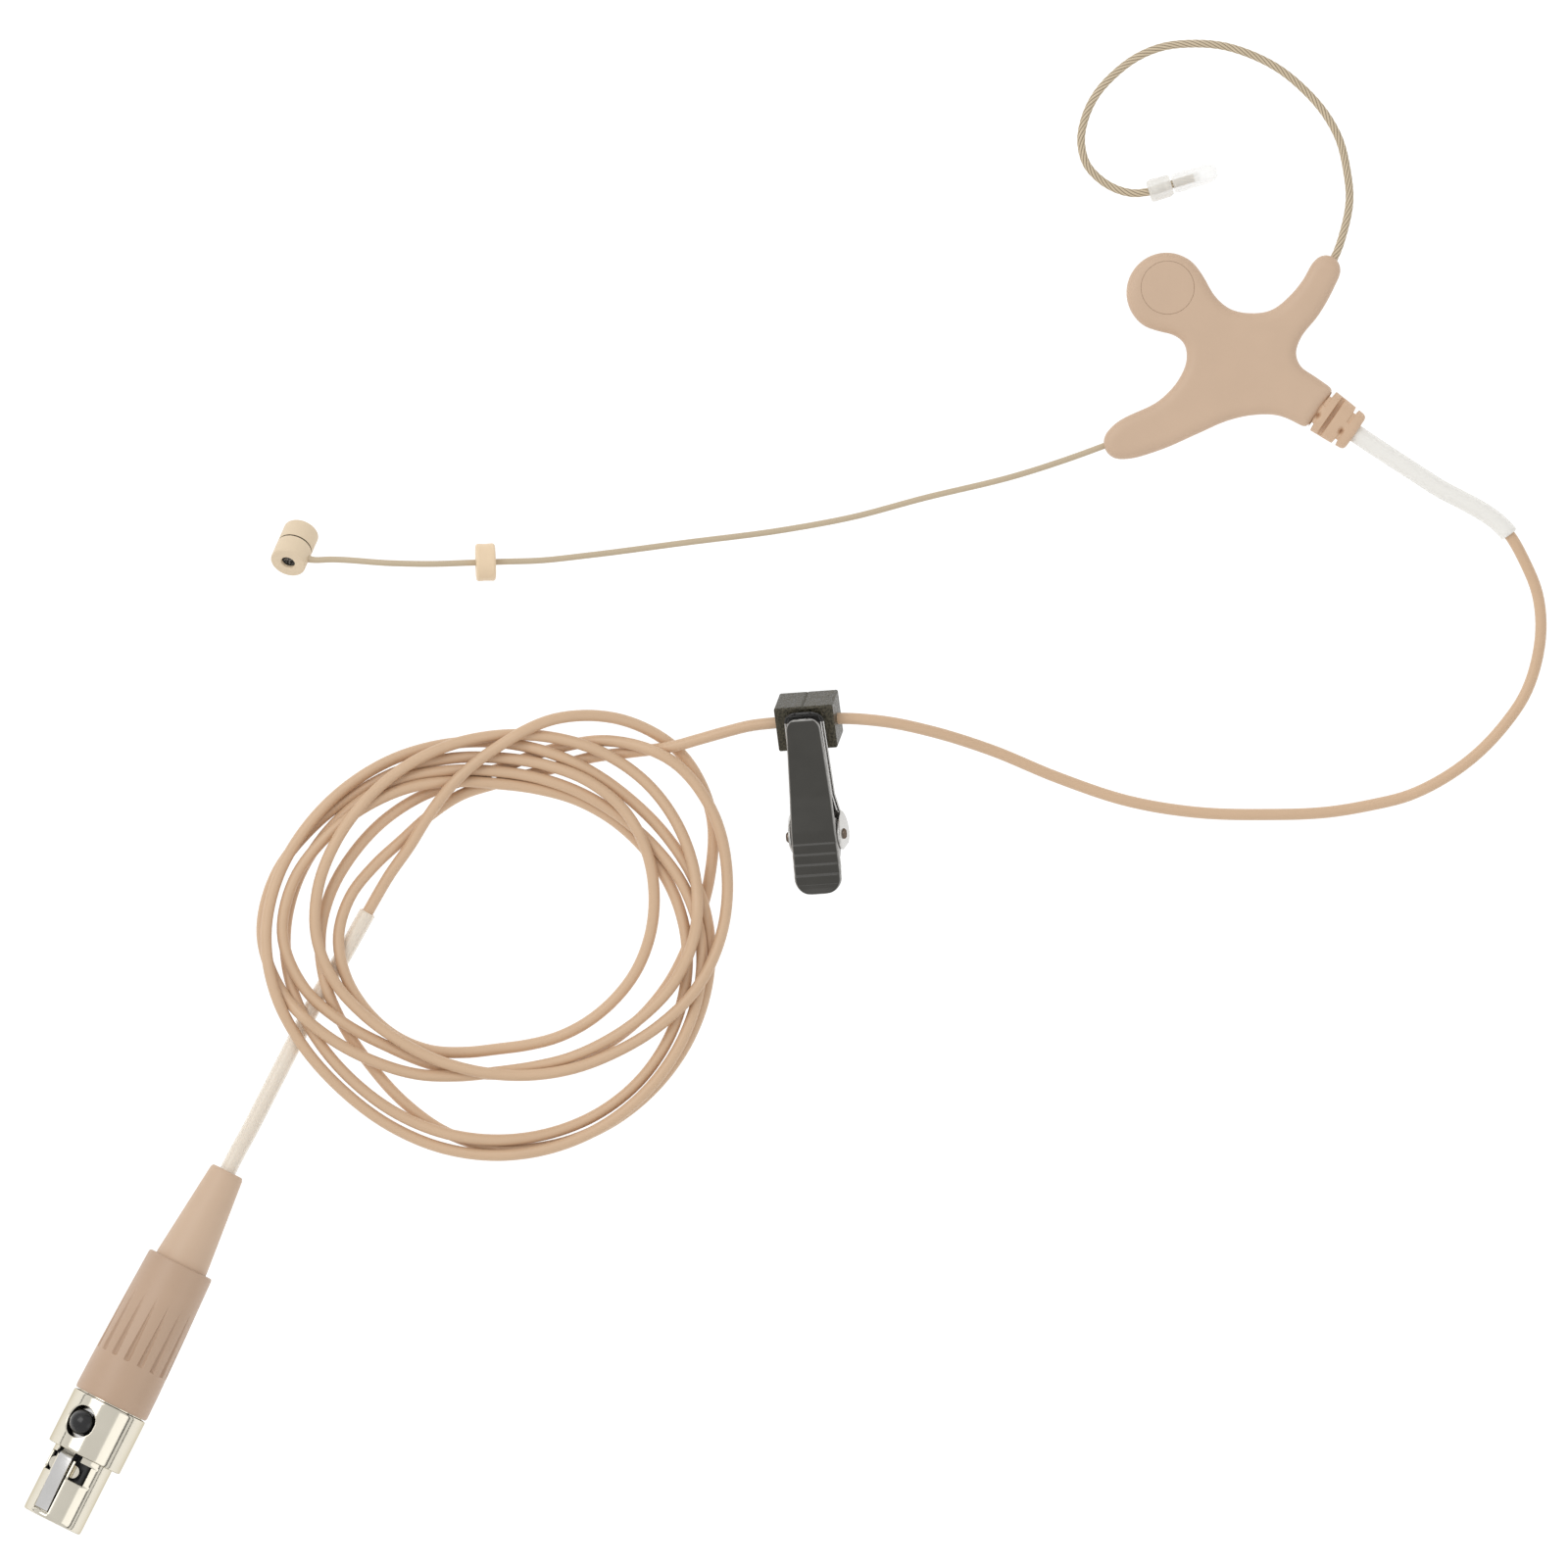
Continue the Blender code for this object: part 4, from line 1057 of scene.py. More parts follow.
hook_path = smooth_route(HOOK_ROUTE, 0.16)
rope_points, lobes = rope_grid(hook_path, 0.53)
# the lobes also set where the rope's finish paints shade into the furrows
piece(
    "hook_wire_rope", *skin(rope_points), rope_look, "hook_rope_strands", ["hook_rope"], crease=80.0, crown=lobes
)
print("hook length:", round(distances(hook_path)[-1], 1), "mm")

HOOK_END = HOOK_ROUTE[-3]
HOOK_END_TURN = axes((0.955, 0.296, 0.0), (0.0, 0.0, 1.0))
frayed = lathe(
    eased([(0.62, 0.0), (1.3, 0.0), (1.48, 0.5), (1.45, 2.5), (1.3, 3.1), (0.62, 3.1)], 0.15), 48
)
ragged = 1.0 + 0.035 * np.sin(5 * np.arange(48) * math.tau / 48 + 3.0 * frayed[..., 2])[..., None]
frayed[..., :2] *= ragged
piece(
    "hook_end_sleeve", *skin(placed(frayed, HOOK_END, HOOK_END_TURN), ring=True), frosted_look,
    "clear_tip",
    ["hook_sleeve"],
)
tip_profile = eased(
    [(0.62, 3.3), (1.12, 3.3), (1.3, 3.6), (1.3, 7.9), (1.15, 8.8), (0.75, 9.3), (0.03, 9.42)], 0.3
)
bore_profile = np.array([(0.03, 7.0), (0.5, 6.95), (0.62, 6.8), (0.62, 3.3)])
tip_grid = lathe(np.concatenate([bore_profile, tip_profile[1:]]), 64)
piece(
    "hook_end_tip", *skin(placed(tip_grid, HOOK_END, HOOK_END_TURN)), tip_look, "clear_tip", ["hook_tip"]
)

# %% [markdown]
# ## Boom and capsule
#
# The boom is a coated spring wire, formed to follow the cheek. A small silicone ring slides on it.
# The capsule at its end is two turned cups with a joint line darkened by painted shade; the sound
# goes in through a round hole in the flat end, over a fine gauze.

# %% Boom
CAPSULE_CENTRE = np.array([-123.97, -23.6, 3.8])
CAPSULE_TURN = axes((-0.297, -0.690, 0.66), (1.0, 0.0, 0.0))
CAPSULE_HALF = 2.95
BOOM_ROUTE = [
    (-119.5, -25.16, 5.45),
    (-111.3, -25.65, 6.35),
    (-106.0, -25.75, 6.62),
    (-101.33, -25.60, 6.387),
    (-96.67, -25.45, 6.153),
    (-92.0, -25.30, 5.92),
    (-85.6, -24.62, 5.55),
    (-72.8, -22.95, 4.85),
    (-60.0, -21.28, 4.15),
    (-51.0, -19.6, 3.65),
    (-42.0, -17.2, 3.2),
    (-29.2, -14.05, 2.65),
    (-21.55, -11.54, 2.3),
    (-18.08, -10.26, 2.2),
    (-12.2, -8.09, 2.2),
]
BOOM_ENTRY = 1.4
boom_ends = placed([(1.75, 0.0, BOOM_ENTRY), (3.0, 0.0, BOOM_ENTRY)], CAPSULE_CENTRE, CAPSULE_TURN)
boom_path = smooth_route(np.concatenate([boom_ends, BOOM_ROUTE]), 0.5)
flare = 0.4 + 0.10 * np.exp(-((distances(boom_path) / 1.0) ** 4))
piece(
    "boom_arm", *skin(carried(boom_path, flare[:, None],
                              20)), boom_look, "boom_coating", ["boom_wire"], crease=80.0
)

RING_CENTRE = (-99.0, -25.525, 6.27)
RING_TURN = axes((14.0, 0.45, -0.70), (0.0, 0.0, 1.0))
ring_profile = eased(
    [(0.5, 0.0), (0.5, -1.2), (0.75, -1.3), (2.25, -1.27), (2.47, -1.02), (2.42, 0.0), (2.47, 1.02), (
        2.25, 1.27
    ),
     (0.75, 1.3), (0.5, 1.2), (0.5, 0.02)], 0.12)
ring = piece(
    "boom_sliding_ring", *skin(placed(lathe(ring_profile), RING_CENTRE, RING_TURN), ring=True),
    ring_look,
    "cream_silicone", ["boom_ring"], body="boom_ring",
)

# %% Capsule
front_profile = eased(
    [(0.93, 2.45), (0.93, 2.82), (1.02, 2.93), (2.24, CAPSULE_HALF), (2.36, 2.83), (2.36, 0.17),
     (2.33, 0.14), (2.0, 0.14),
     (2.0, 2.43), (0.93, 2.45)], 0.05)
piece(
    "capsule_front",
    *skin(placed(lathe(front_profile[:-1], 128), CAPSULE_CENTRE, CAPSULE_TURN), ring=True), cap_look,
    "tan_plastic", ["mic_front_cap"],
)
rear_profile = eased(
    [(1.6, -2.1), (1.6, 0.65), (1.85, 0.65), (1.85, -0.06), (2.31, -0.06), (2.36, -0.11), (2.36, -2.8), (
        2.22, -CAPSULE_HALF
    ),
     (0.04, -2.97)], 0.05)
rear_profile = np.concatenate([[(0.04, -2.1)], rear_profile])
rear_grid = lathe(rear_profile, 128)
# the joint mask marks where painted shade darkens the capsule's paint
shaded_joint = (rear_profile[:, 0] > 1.62) & (rear_profile[:, 0] < 2.30) & (rear_profile[:, 1] > -0.2)
piece(
    "capsule_rear", *skin(placed(rear_grid, CAPSULE_CENTRE, CAPSULE_TURN)), cap_look, "tan_plastic", [
        "mic_rear_cap"
    ],
    joint=np.repeat(shaded_joint, 128),
)


def gauze_grid(rings=40, steps=120):
    """Disc of wire gauze: the height is 0.06 mm times the product of two crossed waves 0.44 mm apart."""
    radius = np.linspace(0.02, 1.9, rings)[:, None]
    angle = np.arange(steps)[None, :] * math.tau / steps
    x, y = radius * np.cos(angle), radius * np.sin(angle)
    height = 2.2 + 0.06 * np.cos(x * math.tau / 0.44) * np.cos(y * math.tau / 0.44)
    top = np.stack([x, y, height], axis=-1)
    return np.concatenate([top, top[::-1] - np.array([0.0, 0.0, 0.1])])


piece(
    "capsule_gauze", *skin(placed(gauze_grid(), CAPSULE_CENTRE,
                                  CAPSULE_TURN)), gauze_look, "dark_mesh", ["mic_mesh"]
)

# %% [markdown]
# ## Clothing clip
#
# A rubber block grips the cable. Behind it sits a small sprung clip: a plated lower jaw with two
# ears, a black lever that is upper jaw and thumb plate in one, and a spring on the pin between
# them. Both jaws are bent sheet: a section across, carried from the jaw's tip to the handle's end.

# %% Clip's own space


def turn_about(axis, degrees):
    """Rotation matrix about x, y or z."""
    c, s = math.cos(math.radians(degrees)), math.sin(math.radians(degrees))
    i, j = [(1, 2), (2, 0), (0, 1)]["xyz".index(axis)]
    turn = np.eye(3)
    turn[[i, i, j, j], [i, j, i, j]] = c, -s, s, c
    return turn


CLIP_CENTRE = (-56.8, -46.2, 6.4)
CLIP_TURN = turn_about("z", 4.0) @ turn_about("y", -9.6) @ turn_about("x", 20.0)
PIVOT = np.array([0.0, -14.1, 5.3])
SHEET = 0.45
WIRE_RADIUS = 0.22
ALONG_PIN = (1.0, 0.0, 0.0)

# %% Cable block


def rounded_block(half, radius, count=24):
    """Box with rounded edges: cube-face grids pushed to core + radius times the unit offset from the core."""
    line = np.sin(np.linspace(-1, 1, count) * math.pi / 2)
    a, b = np.meshgrid(line, line, indexing="ij")
    one = np.ones_like(a)
    sides = [(one, a, b), (-one, b, a), (b, one, a), (a, -one, b), (a, b, one), (b, a, -one)]
    cube = np.stack([np.stack(side, axis=-1) for side in sides])
    target = cube * np.asarray(half)
    core = np.clip(target, -(np.asarray(half) - radius), np.asarray(half) - radius)
    offset = target - core
    length = np.linalg.norm(offset, axis=-1, keepdims=True)
    pushed = core + offset / np.maximum(length, 1e-9) * np.minimum(radius, length)
    faces = np.concatenate(
        [grid_faces(count, count, wrap_columns=False) + k * count * count for k in range(6)]
    )
    return pushed.reshape(-1, 3), faces.tolist()


def welded(points, faces, gap=1e-4):
    """The same faces on points that are merged where they coincide."""
    _, first, index = np.unique(
        np.round(points / gap).astype(int), axis=0, return_index=True, return_inverse=True
    )
    joined = index.reshape(-1)[np.array(faces)]
    return points[first], [list(dict.fromkeys(face)) for face in joined.tolist()]


block_points, block_faces = rounded_block((3.9, 3.0, 3.0), 0.28, 60)
seam = np.exp(-(((block_points[:, 0] + 0.15 + 0.06 * np.sin(9 * block_points[:, 2])) / 0.09) ** 2))
block_points[:, 1] -= 0.16 * seam * (block_points[:, 1] > 2.6)
block = piece(
    "clip_cable_block", *welded(placed(block_points, CLIP_CENTRE, CLIP_TURN), block_faces), block_look,
    "block_rubber",
    ["clip_block"],
)

# %% Jaw and lever


def bent_sheet(stations, height, half, flange, drop, lean=0.0, columns=17, wall=7):
    """Channel of sheet metal: a flat web of half-width half, then flanges that run drop beyond it.

    Along x the web's point q in -1..1 is at q times half; the flange's point is at the edge, and its
    height changes by flange times its share. A small quarter round joins the two. The flange leans
    in by lean at its rim.
    """
    q = np.linspace(-1.0, 1.0, columns)
    turn = np.linspace(0.0, 1.0, 5)[1:] * math.pi / 2
    share = np.linspace(0.0, 1.0, wall)[1:]
    web = np.stack(
        [np.outer(half - flange, q), np.broadcast_to(height[:, None], (len(stations), columns))], axis=-1
    )
    bend_x = (half - flange)[:, None] + flange * np.sin(turn)
    bend_z = height[:, None] + np.sign(drop)[:, None] * flange * (1 - np.cos(turn))
    wall_x = bend_x[:, -1:] - np.broadcast_to(lean, len(stations))[:, None] * share
    wall_z = bend_z[:, -1:] + np.maximum(np.abs(drop) - flange, 0.02)[:, None] * np.sign(drop)[:,
                                                                                               None] * share
    right = np.stack(
        [np.concatenate([bend_x, wall_x], axis=1), np.concatenate([bend_z, wall_z], axis=1)], axis=-1
    )
    left = right[:, ::-1] * np.array([-1.0, 1.0])
    section = np.concatenate([left, web, right], axis=1)
    y = np.broadcast_to(stations[:, None], section.shape[:2])
    return np.stack([section[..., 0], y, section[..., 1]], axis=-1)


def sheet_piece(name, grid, thickness, finish, slot, node, body, up):
    """Sheet grid in the clip's space, given its thickness by Solidify on the side away from up."""
    rows, columns = grid.shape[:2]
    faces = grid_faces(rows, columns, wrap_columns=False)
    points = placed(grid.reshape(-1, 3), CLIP_CENTRE, CLIP_TURN)
    middle = faces[len(faces) // 2]
    normal = np.cross(points[middle[1]] - points[middle[0]], points[middle[2]] - points[middle[0]])
    if normal @ CLIP_TURN[:, 2] * up < 0:
        faces = faces[:, ::-1]
    half_width = np.abs(grid[..., 0]).max(axis=1, keepdims=True)
    walls = np.abs(np.arange(columns) - (columns - 1) / 2) > 9.5
    bare = (walls | (np.abs(grid[..., 0]) > 1.9)) & (grid[..., 1] < 1.0)
    length = np.abs(grid[:, :1, 1] - grid[:, :1, 1].mean()) / np.ptp(grid[:, 0, 1]) * 2
    rim = np.maximum(
        np.abs(grid[..., 0]) / np.maximum(half_width, 0.1), np.broadcast_to(length, grid.shape[:2]) ** 6
    )
    obj = piece(name, points, faces.tolist(), finish, slot, [node], body, 50.0, closed=False,
                rim=rim**4, bare=bare)
    wall = obj.modifiers.new("sheet", "SOLIDIFY")
    wall.thickness = thickness * MM
    wall.offset = -1.0
    wall.use_even_offset = True
    return obj


def between(knots, wanted):
    """Value at the wanted places on straight lines through (place, value) knots."""
    place, value = np.transpose(knots)
    return np.interp(wanted, place, value)


def round_ended(stations, low, high, knots, radius):
    """Half-width between knots, closed at both ends by quarter rounds of the given radii."""
    base = between(knots, stations)
    from_low = np.clip((stations - low) / radius[0], 0.0, 1.0)
    from_high = np.clip((high - stations) / radius[1], 0.0, 1.0)
    trim_low = radius[0] * (1 - np.sqrt(1 - (1 - from_low) ** 2))
    trim_high = radius[1] * (1 - np.sqrt(1 - (1 - from_high) ** 2))
    return base - trim_low - trim_high


def lever_grid():
    """Thumb lever: flat jaw, a crease, a rise over the pin, then four stepped finger ridges."""
    y = np.concatenate(
        [np.linspace(-20.95, -20.2, 14), np.linspace(-20.1, 0.2, 330), np.linspace(0.26, 1.95, 26)]
    )
    knots = [(-20.95, 8.95), (-20.2, 8.62), (-18.2, 8.12), (-15.5, 7.65), (-12.9, 7.45), (-8.4, 6.15), (
        -3.0, 5.4
    ),
             (0.5, 5.02), (1.95, 4.93)]
    height = between(knots, y)
    kernel = np.hanning(17) / np.hanning(17).sum()
    height = np.convolve(np.pad(height, 8, mode="edge"), kernel, mode="valid")
    phase = ((y + 14.3) / 1.36) % 1.0
    ridge = np.where(phase > 0.8, (1.0 - phase) / 0.2, phase / 0.8) * ((y < -14.3) & (y > -19.8))
    height = height + 0.17 * ridge
    half = round_ended(y, -20.95, 1.95,
                       [(-20.95, 3.1), (-18.0, 3.12), (-14.0, 3.05), (-8.4, 2.78), (1.95, 2.22)], (1.9, 1.45))
    reach = np.clip(1 - ((y - PIVOT[1]) / 2.6) ** 2, 0, 1) ** 0.5
    return bent_sheet(y, height, half, 0.35, -(0.42 + 2.6 * reach))


def jaw_grid():
    """Lower jaw: a flat web under the lever, two tall ears at the pin, and a handle that dips away."""
    y = np.linspace(-21.0, 2.55, 300)
    knots = [(-21.0, 1.5), (-17.0, 2.5), (-12.0, 3.15), (1.0, 3.15), (2.0, 3.35), (2.55, 3.75)]
    height = between(knots, y)
    knots = [(-21.0, 2.1), (-17.2, 2.3), (-16.4, 3.25), (-11.7, 3.3), (-9.2, 2.85), (2.55, 2.6)]
    half = round_ended(y, -21.0, 2.55, knots, (1.2, 1.5))
    ear = np.clip(1 - ((y - PIVOT[1] + 0.1) / 2.6) ** 2, 0, 1) ** 0.5
    return bent_sheet(y, height, half + 0.72 * ear, 0.2, 0.3 + 4.2 * ear, 0.62 * ear)


lever = sheet_piece(
    "clip_thumb_lever", lever_grid(), SHEET, lacquer_look, "black_lacquer", "clip_lever", "clip_lever", 1
)
jaw = sheet_piece(
    "clip_jaw_plate", jaw_grid(), 0.3, chrome_look, "clip_chrome", "clip_lower_jaw", "headset", -1
)

# %% Pin and spring
pin_turn = CLIP_TURN @ axes((1.0, 0.0, 0.0), (0.0, 0.0, 1.0))
pin_place = placed(PIVOT, CLIP_CENTRE, CLIP_TURN)
pin_half = [(0.03, 4.0), (0.5, 3.96), (0.68, 3.8), (0.68, 3.42), (0.58, 3.38)]
pin_profile = np.array([(r, -z) for r, z in pin_half] + [(r, z) for r, z in reversed(pin_half)])
pin = piece(
    "clip_hinge_pin", *skin(placed(lathe(pin_profile, 48), pin_place,
                                   pin_turn)), pin_look, "clip_chrome", ["clip_pin"]
)


def spring_line(turns=2.5, radius=1.25, width=2.6):
    """Helix round the pin, (x, r cos a, r sin a) with x along the pin, and a straight leg on the jaw."""
    angle = np.linspace(math.pi / 2, math.pi / 2 - turns * math.tau, 160)
    x = np.linspace(-width / 2, width / 2, len(angle))
    helix = np.stack([x, radius * np.cos(angle), radius * np.sin(angle)], axis=1)
    return np.concatenate([helix, [(width / 2, -2.0, -1.55), (width / 2, -4.4, -1.9)]])


spring_grid = carried(spring_line(), WIRE_RADIUS, 12, ALONG_PIN) + PIVOT
leg_line = np.array(
    [(-1.3, -4.0, 1.62), (-1.3, -3.0, 1.5), (-1.3, -2.0, 1.4), (-1.3, -1.0, 1.3), (-1.3, -0.2, 1.25)]
)
leg_grid = carried(leg_line, WIRE_RADIUS, 12, ALONG_PIN) + PIVOT
spring_leg = piece(
    "clip_spring_leg", *skin(placed(leg_grid, CLIP_CENTRE, CLIP_TURN)), spring_look,
    "clip_chrome", body="clip_lever", crease=80.0,
)
spring = piece(
    "clip_torsion_spring", *skin(placed(spring_grid, CLIP_CENTRE, CLIP_TURN)), spring_look,
    "clip_chrome",
    ["clip_spring"], crease=80.0,
)

# %% [markdown]
# ## Plug
#
# A miniature three-contact plug: a rubber boot, a ribbed grip that screws onto the nickel shell, a
# nose with a slot for the latch and two windows, and a black release button. Stations are
# millimetres from the boot's mouth along the plug's axis.

# %% Plug's own space, boot and grip
PLUG_ORIGIN = BOOT_MOUTH
PLUG_AXIS = np.array([-0.449, -0.893, 0.0]) / math.hypot(0.449, 0.893)
LEVEL = np.array([PLUG_AXIS[1], -PLUG_AXIS[0], 0.0])
ROLL = math.radians(30.5)
PLUG_TURN = axes(PLUG_AXIS, np.array([0.0, 0.0, math.cos(ROLL)]) + LEVEL * math.sin(ROLL))


def plug_piece(name, grid, finish, slot, nodes, ring=True, body="headset", crease=40.0):
    return piece(
        name, *skin(placed(grid, PLUG_ORIGIN, PLUG_TURN), ring), finish, slot, nodes, body, crease
    )


boot_profile = eased(
    [(1.3, 0.5), (1.3, 0.0), (2.12, 0.0), (2.3, 0.4), (3.58, 13.2), (3.58, 15.5), (1.0, 15.5),
     (1.0, 3.0), (1.3, 2.4)],
    0.2)
boot = plug_piece("plug_rubber_boot", lathe(boot_profile), boot_look, "boot_rubber", ["plug_boot"])
GROOVES = 16


def grip_surface(steps=768):
    """Tapered barrel with 16 grooves, narrow and shallow first, wide and deep at the end."""
    outer = eased([(4.32, 13.6), (4.45, 13.62), (4.55, 13.9), (4.86, 22.0), (5.10, 30.0), (5.16, 33.7), (
        5.02, 34.0
    ),
                   (4.9, 34.0)], 0.18)
    fine = np.arange(18.4, 29.0, 0.1)
    station = np.concatenate([outer[outer[:, 1] < 18.3, 1], fine, outer[outer[:, 1] > 29.1, 1]])
    radius = np.concatenate([outer[outer[:, 1] < 18.3, 0], np.interp(fine, outer[:, 1], outer[:, 0]),
                             outer[outer[:, 1] > 29.1, 0]])
    grid = lathe(np.column_stack([radius, station]), steps)
    angle = np.arange(steps) * math.tau / steps
    share = np.clip((station - 18.8) / 8.6, 0.0, 1.0)
    end = np.clip((28.0 - station) / 0.55, 0.0, 1.0)
    width = 0.10 + 0.34 * share
    across = np.abs(((angle * GROOVES / math.tau + 0.5) % 1.0) - 0.5)[None, :] * 2.0 / width[:, None]
    dip = 0.42 * (share**0.8 * np.sqrt(1 - (1 - end) ** 2))[:, None] * np.clip(1 - across**2, 0.0, 1.0)
    grid[..., :2] *= (1 - dip / radius[:, None])[..., None]
    inner = lathe([(4.6, 34.0), (4.6, 28.0), (3.9, 27.9), (3.9, 14.2), (3.66, 13.6)], steps)
    return np.concatenate([grid, inner])


grip = plug_piece("plug_screw_grip", grip_surface(), grip_look, "grip_plastic", ["plug_grip"])

# %% [markdown]
# The shell and the nose are thin tubes with holes in them. Each is a net wrapped round the axis:
# faces inside a hole are left out, the points next to a round hole move onto its circle, and
# Solidify gives the sheet its wall.

# %% Shell and nose


def wrapped_sheet(name, stations, radii, angles, holes, wall, finish, slot, node, round_hole=None):
    """Tube of sheet with openings: station and angle grid, less the faces whose centre lies in a hole."""
    angle, station = np.meshgrid(angles, stations)
    radius = np.broadcast_to(np.asarray(radii)[:, None], angle.shape)
    if round_hole:
        about, at, size, scale = round_hole
        x, y = (angle - about) * scale, station - at
        reach = np.hypot(x, y)
        near = np.abs(reach - size) < 0.11
        pull = np.where(near, size / np.maximum(reach, 1e-6), 1.0)
        angle, station = about + x * pull / scale, at + y * pull
    faces = grid_faces(*angle.shape)
    centre_angle = np.take(np.unwrap(angle, axis=1).ravel(), faces).copy()
    jump = np.ptp(centre_angle, axis=1) > math.pi
    centre_angle[jump] = np.where(
        centre_angle[jump] > math.pi, centre_angle[jump] - math.tau, centre_angle[jump]
    )
    centre_angle, centre_station = centre_angle.mean(axis=1), station.ravel()[faces].mean(axis=1)
    away = (centre_angle + math.pi) % math.tau - math.pi
    keep = np.ones(len(faces), bool)
    for middle, half, low, high in holes:
        keep &= ~((np.abs(away - middle) < half) & (centre_station > low) & (centre_station < high))
    if round_hole:
        keep &= np.hypot((away - about) * scale, centre_station - at) > size
    grid = np.stack([radius * np.cos(angle), radius * np.sin(angle), station], axis=-1)
    points = placed(grid.reshape(-1, 3), PLUG_ORIGIN, PLUG_TURN)
    used, index = np.unique(faces[keep], return_inverse=True)
    shown = index.reshape(-1, 4)
    first, second, third = points[used][shown[0, :3]]
    normal = np.cross(second - first, third - first)
    outward = first - np.array(PLUG_ORIGIN)
    outward = outward - outward @ PLUG_AXIS * PLUG_AXIS
    if normal @ outward < 0:
        shown = shown[:, ::-1]
    obj = piece(name, points[used], shown.tolist(), finish, slot, [node], crease=35.0, closed=False)
    sheet = obj.modifiers.new("wall", "SOLIDIFY")
    sheet.thickness = wall * MM
    sheet.offset = -1.0
    return obj


shell_stations = np.concatenate([[30.2, 31.0, 32.0, 33.0, 34.0, 34.12, 34.16, 34.22, 34.4], np.arange(
    34.6, 41.5, 0.1
),
                                 [41.6, 41.72, 41.8]])
shell_radii = np.interp(shell_stations, [30.2, 34.12, 34.16, 34.22, 34.4, 41.6, 41.72, 41.8],
                        [4.5, 4.5, 4.9, 5.08, 5.15, 5.15, 5.12, 5.02])
all_round = np.arange(360) * math.tau / 360
plug_shell = wrapped_sheet(
    "plug_nickel_shell", shell_stations, shell_radii, all_round, [], 0.62, nickel_look,
    "connector_nickel",
    "plug_shell", round_hole=(0.0, 37.8, 2.2, 5.15),
)
SLOT_HALF = 1.25 / 4.1
WINDOW_MIDDLE = math.radians(37.7)
WINDOW_HALF = 1.15 / 4.1
edges = [SLOT_HALF, -SLOT_HALF, 1.7 * SLOT_HALF, -1.7 * SLOT_HALF]
edges += [side * WINDOW_MIDDLE + half for side in (-1, 1) for half in (-WINDOW_HALF, WINDOW_HALF)]
nose_angles = np.unique(np.concatenate([np.arange(-180, 180, 1.5), np.degrees(edges)]).round(6))
nose_angles = np.radians(nose_angles[np.concatenate([np.diff(nose_angles) > 0.2, [True]])])
nose_stations = np.unique(
    np.concatenate([np.arange(39.9, 50.5, 0.3), [42.6, 42.75, 45.3, 50.5, 51.0, 51.13, 51.2]])
)
nose_radii = np.interp(nose_stations, [39.9, 50.8, 51.0, 51.13, 51.2], [4.1, 4.1, 4.08, 4.02, 3.92])
windows = [(side * WINDOW_MIDDLE, WINDOW_HALF, 42.6, 45.3) for side in (-1, 1)]
slots = [(0.0, SLOT_HALF, 39.0, 50.5), (0.0, 1.7 * SLOT_HALF, 39.0, 42.75)]
plug_nose = wrapped_sheet(
    "plug_nickel_nose", nose_stations, nose_radii, nose_angles, windows + slots, 0.45,
    nickel_look, "connector_nickel", "plug_nose",
)

# %% [markdown]
# The latch is a strip of spring steel that lies in the nose's slot; the button stands on it. Press
# the button and the strip's front edge leaves the socket's catch.

# %% Latch, button and insert


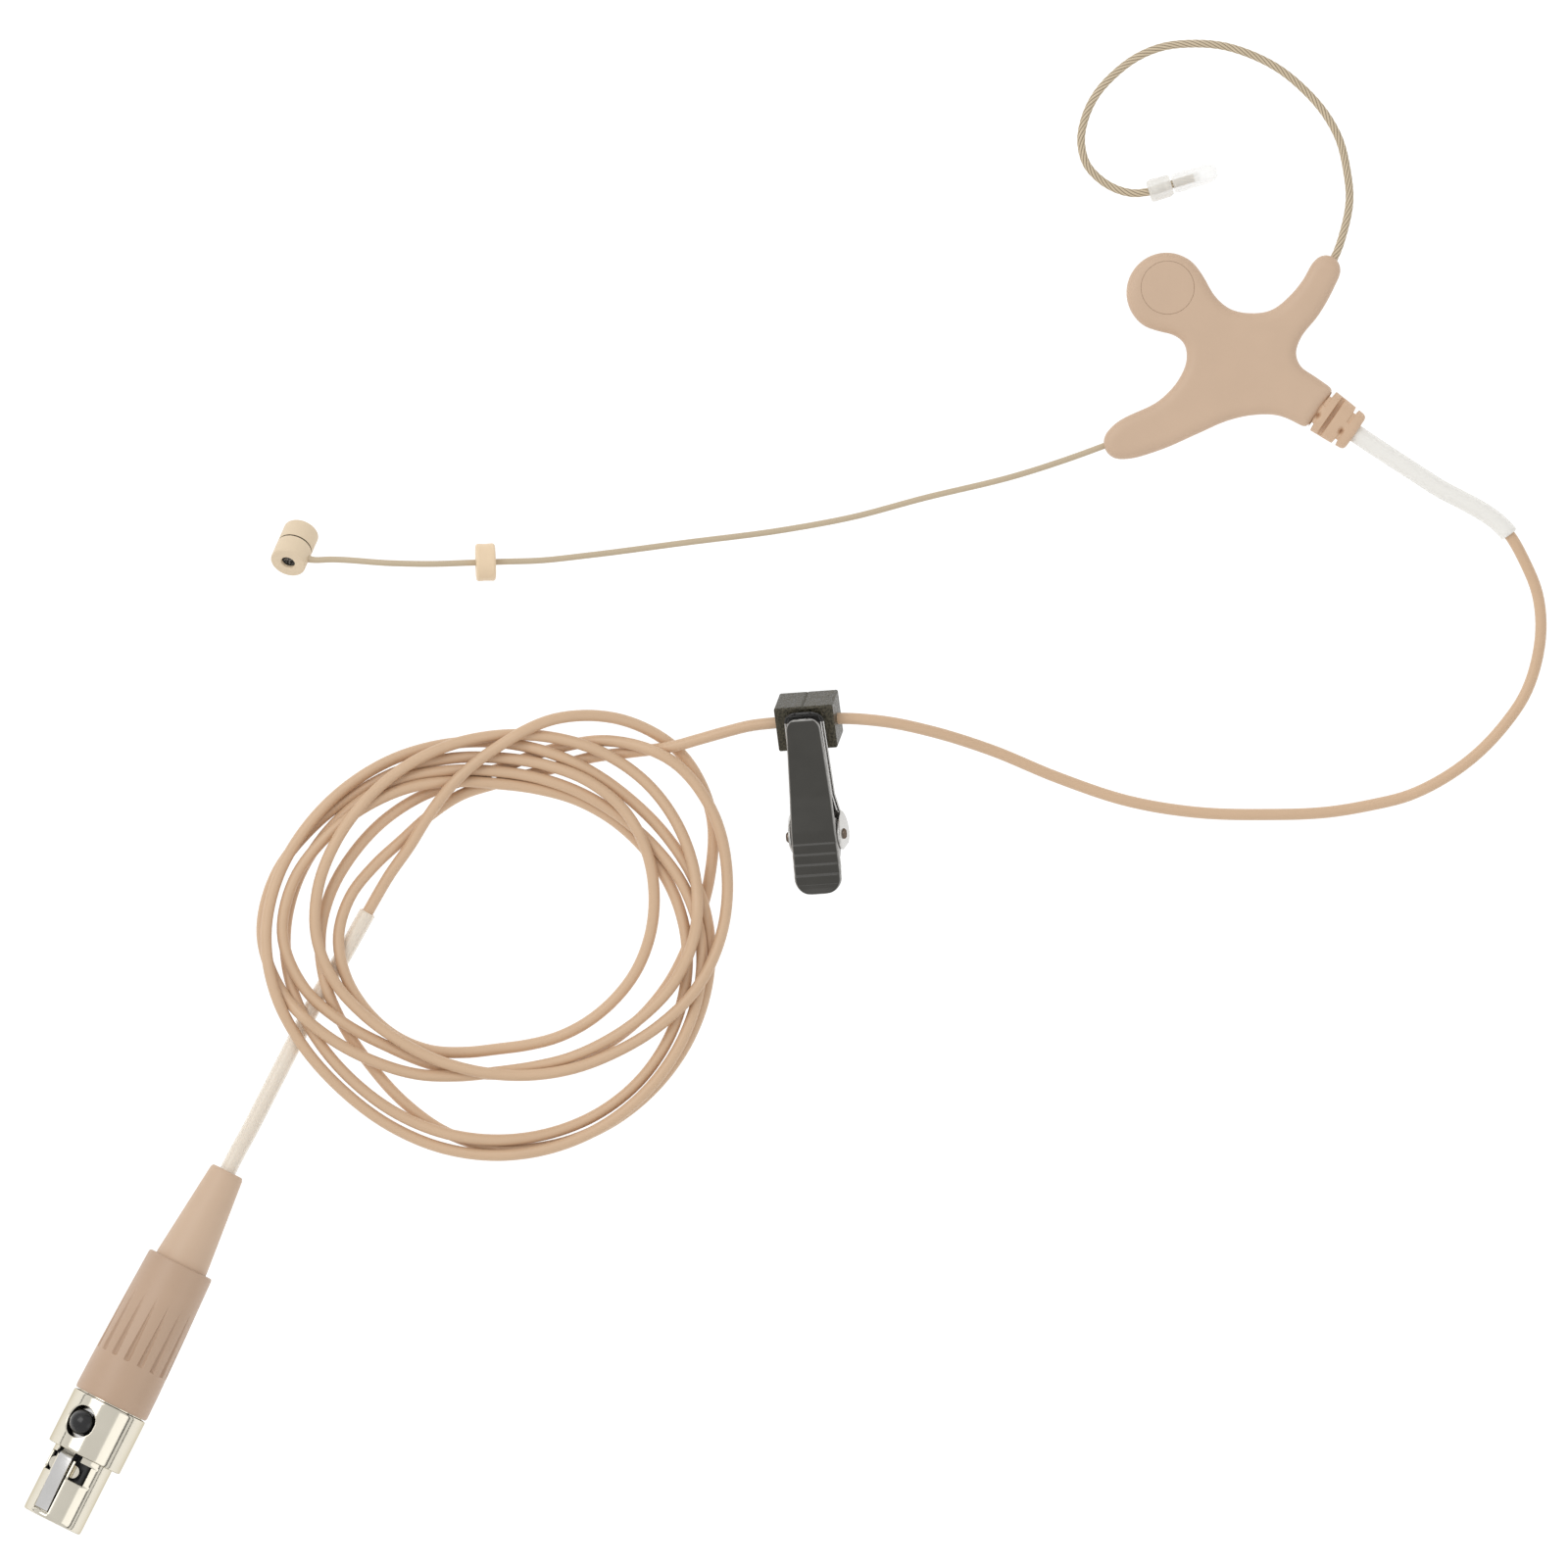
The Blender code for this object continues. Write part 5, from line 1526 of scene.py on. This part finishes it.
def latch_grid(columns=9):
    """Thin strip that bends outwards through the slot, then slopes back to its free edge."""
    station = np.linspace(31.0, 50.25, 120)
    crown = np.clip((station - 41.9) / 0.9, 0, 1) - 0.8 * np.clip((station - 43.4) / 6.8, 0, 1)
    lift = 3.80 + 0.42 * crown * crown * (3 - 2 * crown)
    half = 0.92 + 0.11 * np.clip((station - 41.9) / 0.6, 0, 1)
    across = np.concatenate([np.linspace(-1, 1, columns), np.linspace(1, -1, columns)])
    side = np.concatenate([np.full(columns, 0.13), np.full(columns, -0.13)])
    x = lift[:, None] + side[None, :] - 0.03 * across[None, :] ** 2
    return np.stack(
        [x, half[:, None] * across[None, :], np.broadcast_to(station[:, None], x.shape)], axis=-1
    )


latch = plug_piece("plug_latch_strip", latch_grid(), spring_look, "latch_steel", ["plug_latch"], False,
                   "plug_latch", 30.0)


def lug_grid():
    """Plate with half-round ends across the strip: a hub under the strip and an arm into each window."""
    y = 2.45 * np.sin(np.linspace(-1, 1, 61) * math.pi / 2)
    half = 0.85 * np.sqrt(np.clip(1 - (np.clip(np.abs(y) - 1.6, 0, 1) / 0.86) ** 2, 0.0004, 1))
    top = 3.38 + 0.36 * np.clip((0.85 - np.abs(y)) / 0.08, 0, 1)
    low = np.full_like(y, 3.27)
    corners = [(top, -half), (top, half), (low, half), (low, -half)]
    return np.stack([np.stack([x, y, 44.1 + s], axis=-1) for x, s in corners], axis=1)


lugs = plug_piece(
    "plug_latch_lugs", lug_grid(), nickel_look, "latch_steel", (), False, "plug_latch", 30.0
)
button_turn = PLUG_TURN @ axes((1.0, 0.0, 0.0), (0.0, 0.0, 1.0))
button_place = placed((0.0, 0.0, 37.8), PLUG_ORIGIN, PLUG_TURN)
button_profile = eased(
    [(1.6, 4.12), (1.68, 4.3), (1.68, 4.85), (1.35, 5.25), (0.95, 5.62), (0.5, 5.8), (0.02, 5.85)], 0.22
)
button = piece(
    "plug_release_button", *skin(placed(lathe(button_profile, 64), button_place, button_turn)),
    button_look,
    "button_plastic", ["plug_button"], body="plug_button",
)

# %% [markdown]
# ## Inner parts
#
# The remaining parts sit inside, or show only through an opening. They keep the exact model's
# shape, and get their finishes here.

# %% Finishes of the exact parts
INNER = {
    "mic_element": nickel_look,
    "boom_ferrule": brass_look,
    "hook_ferrule": brass_look,
    "joint_block": resin_look,
    "boom_leads": resin_look,
    "cable_leads": resin_look,
    "plug_clamp": resin_look,
    "plug_insert": insert_look,
    "plug_contact_1": brass_look,
    "plug_contact_2": brass_look,
    "plug_contact_3": brass_look,
}
for name, finish in INNER.items():
    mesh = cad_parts[name].data
    mesh.materials.clear()
    mesh.materials.append(finish.material)
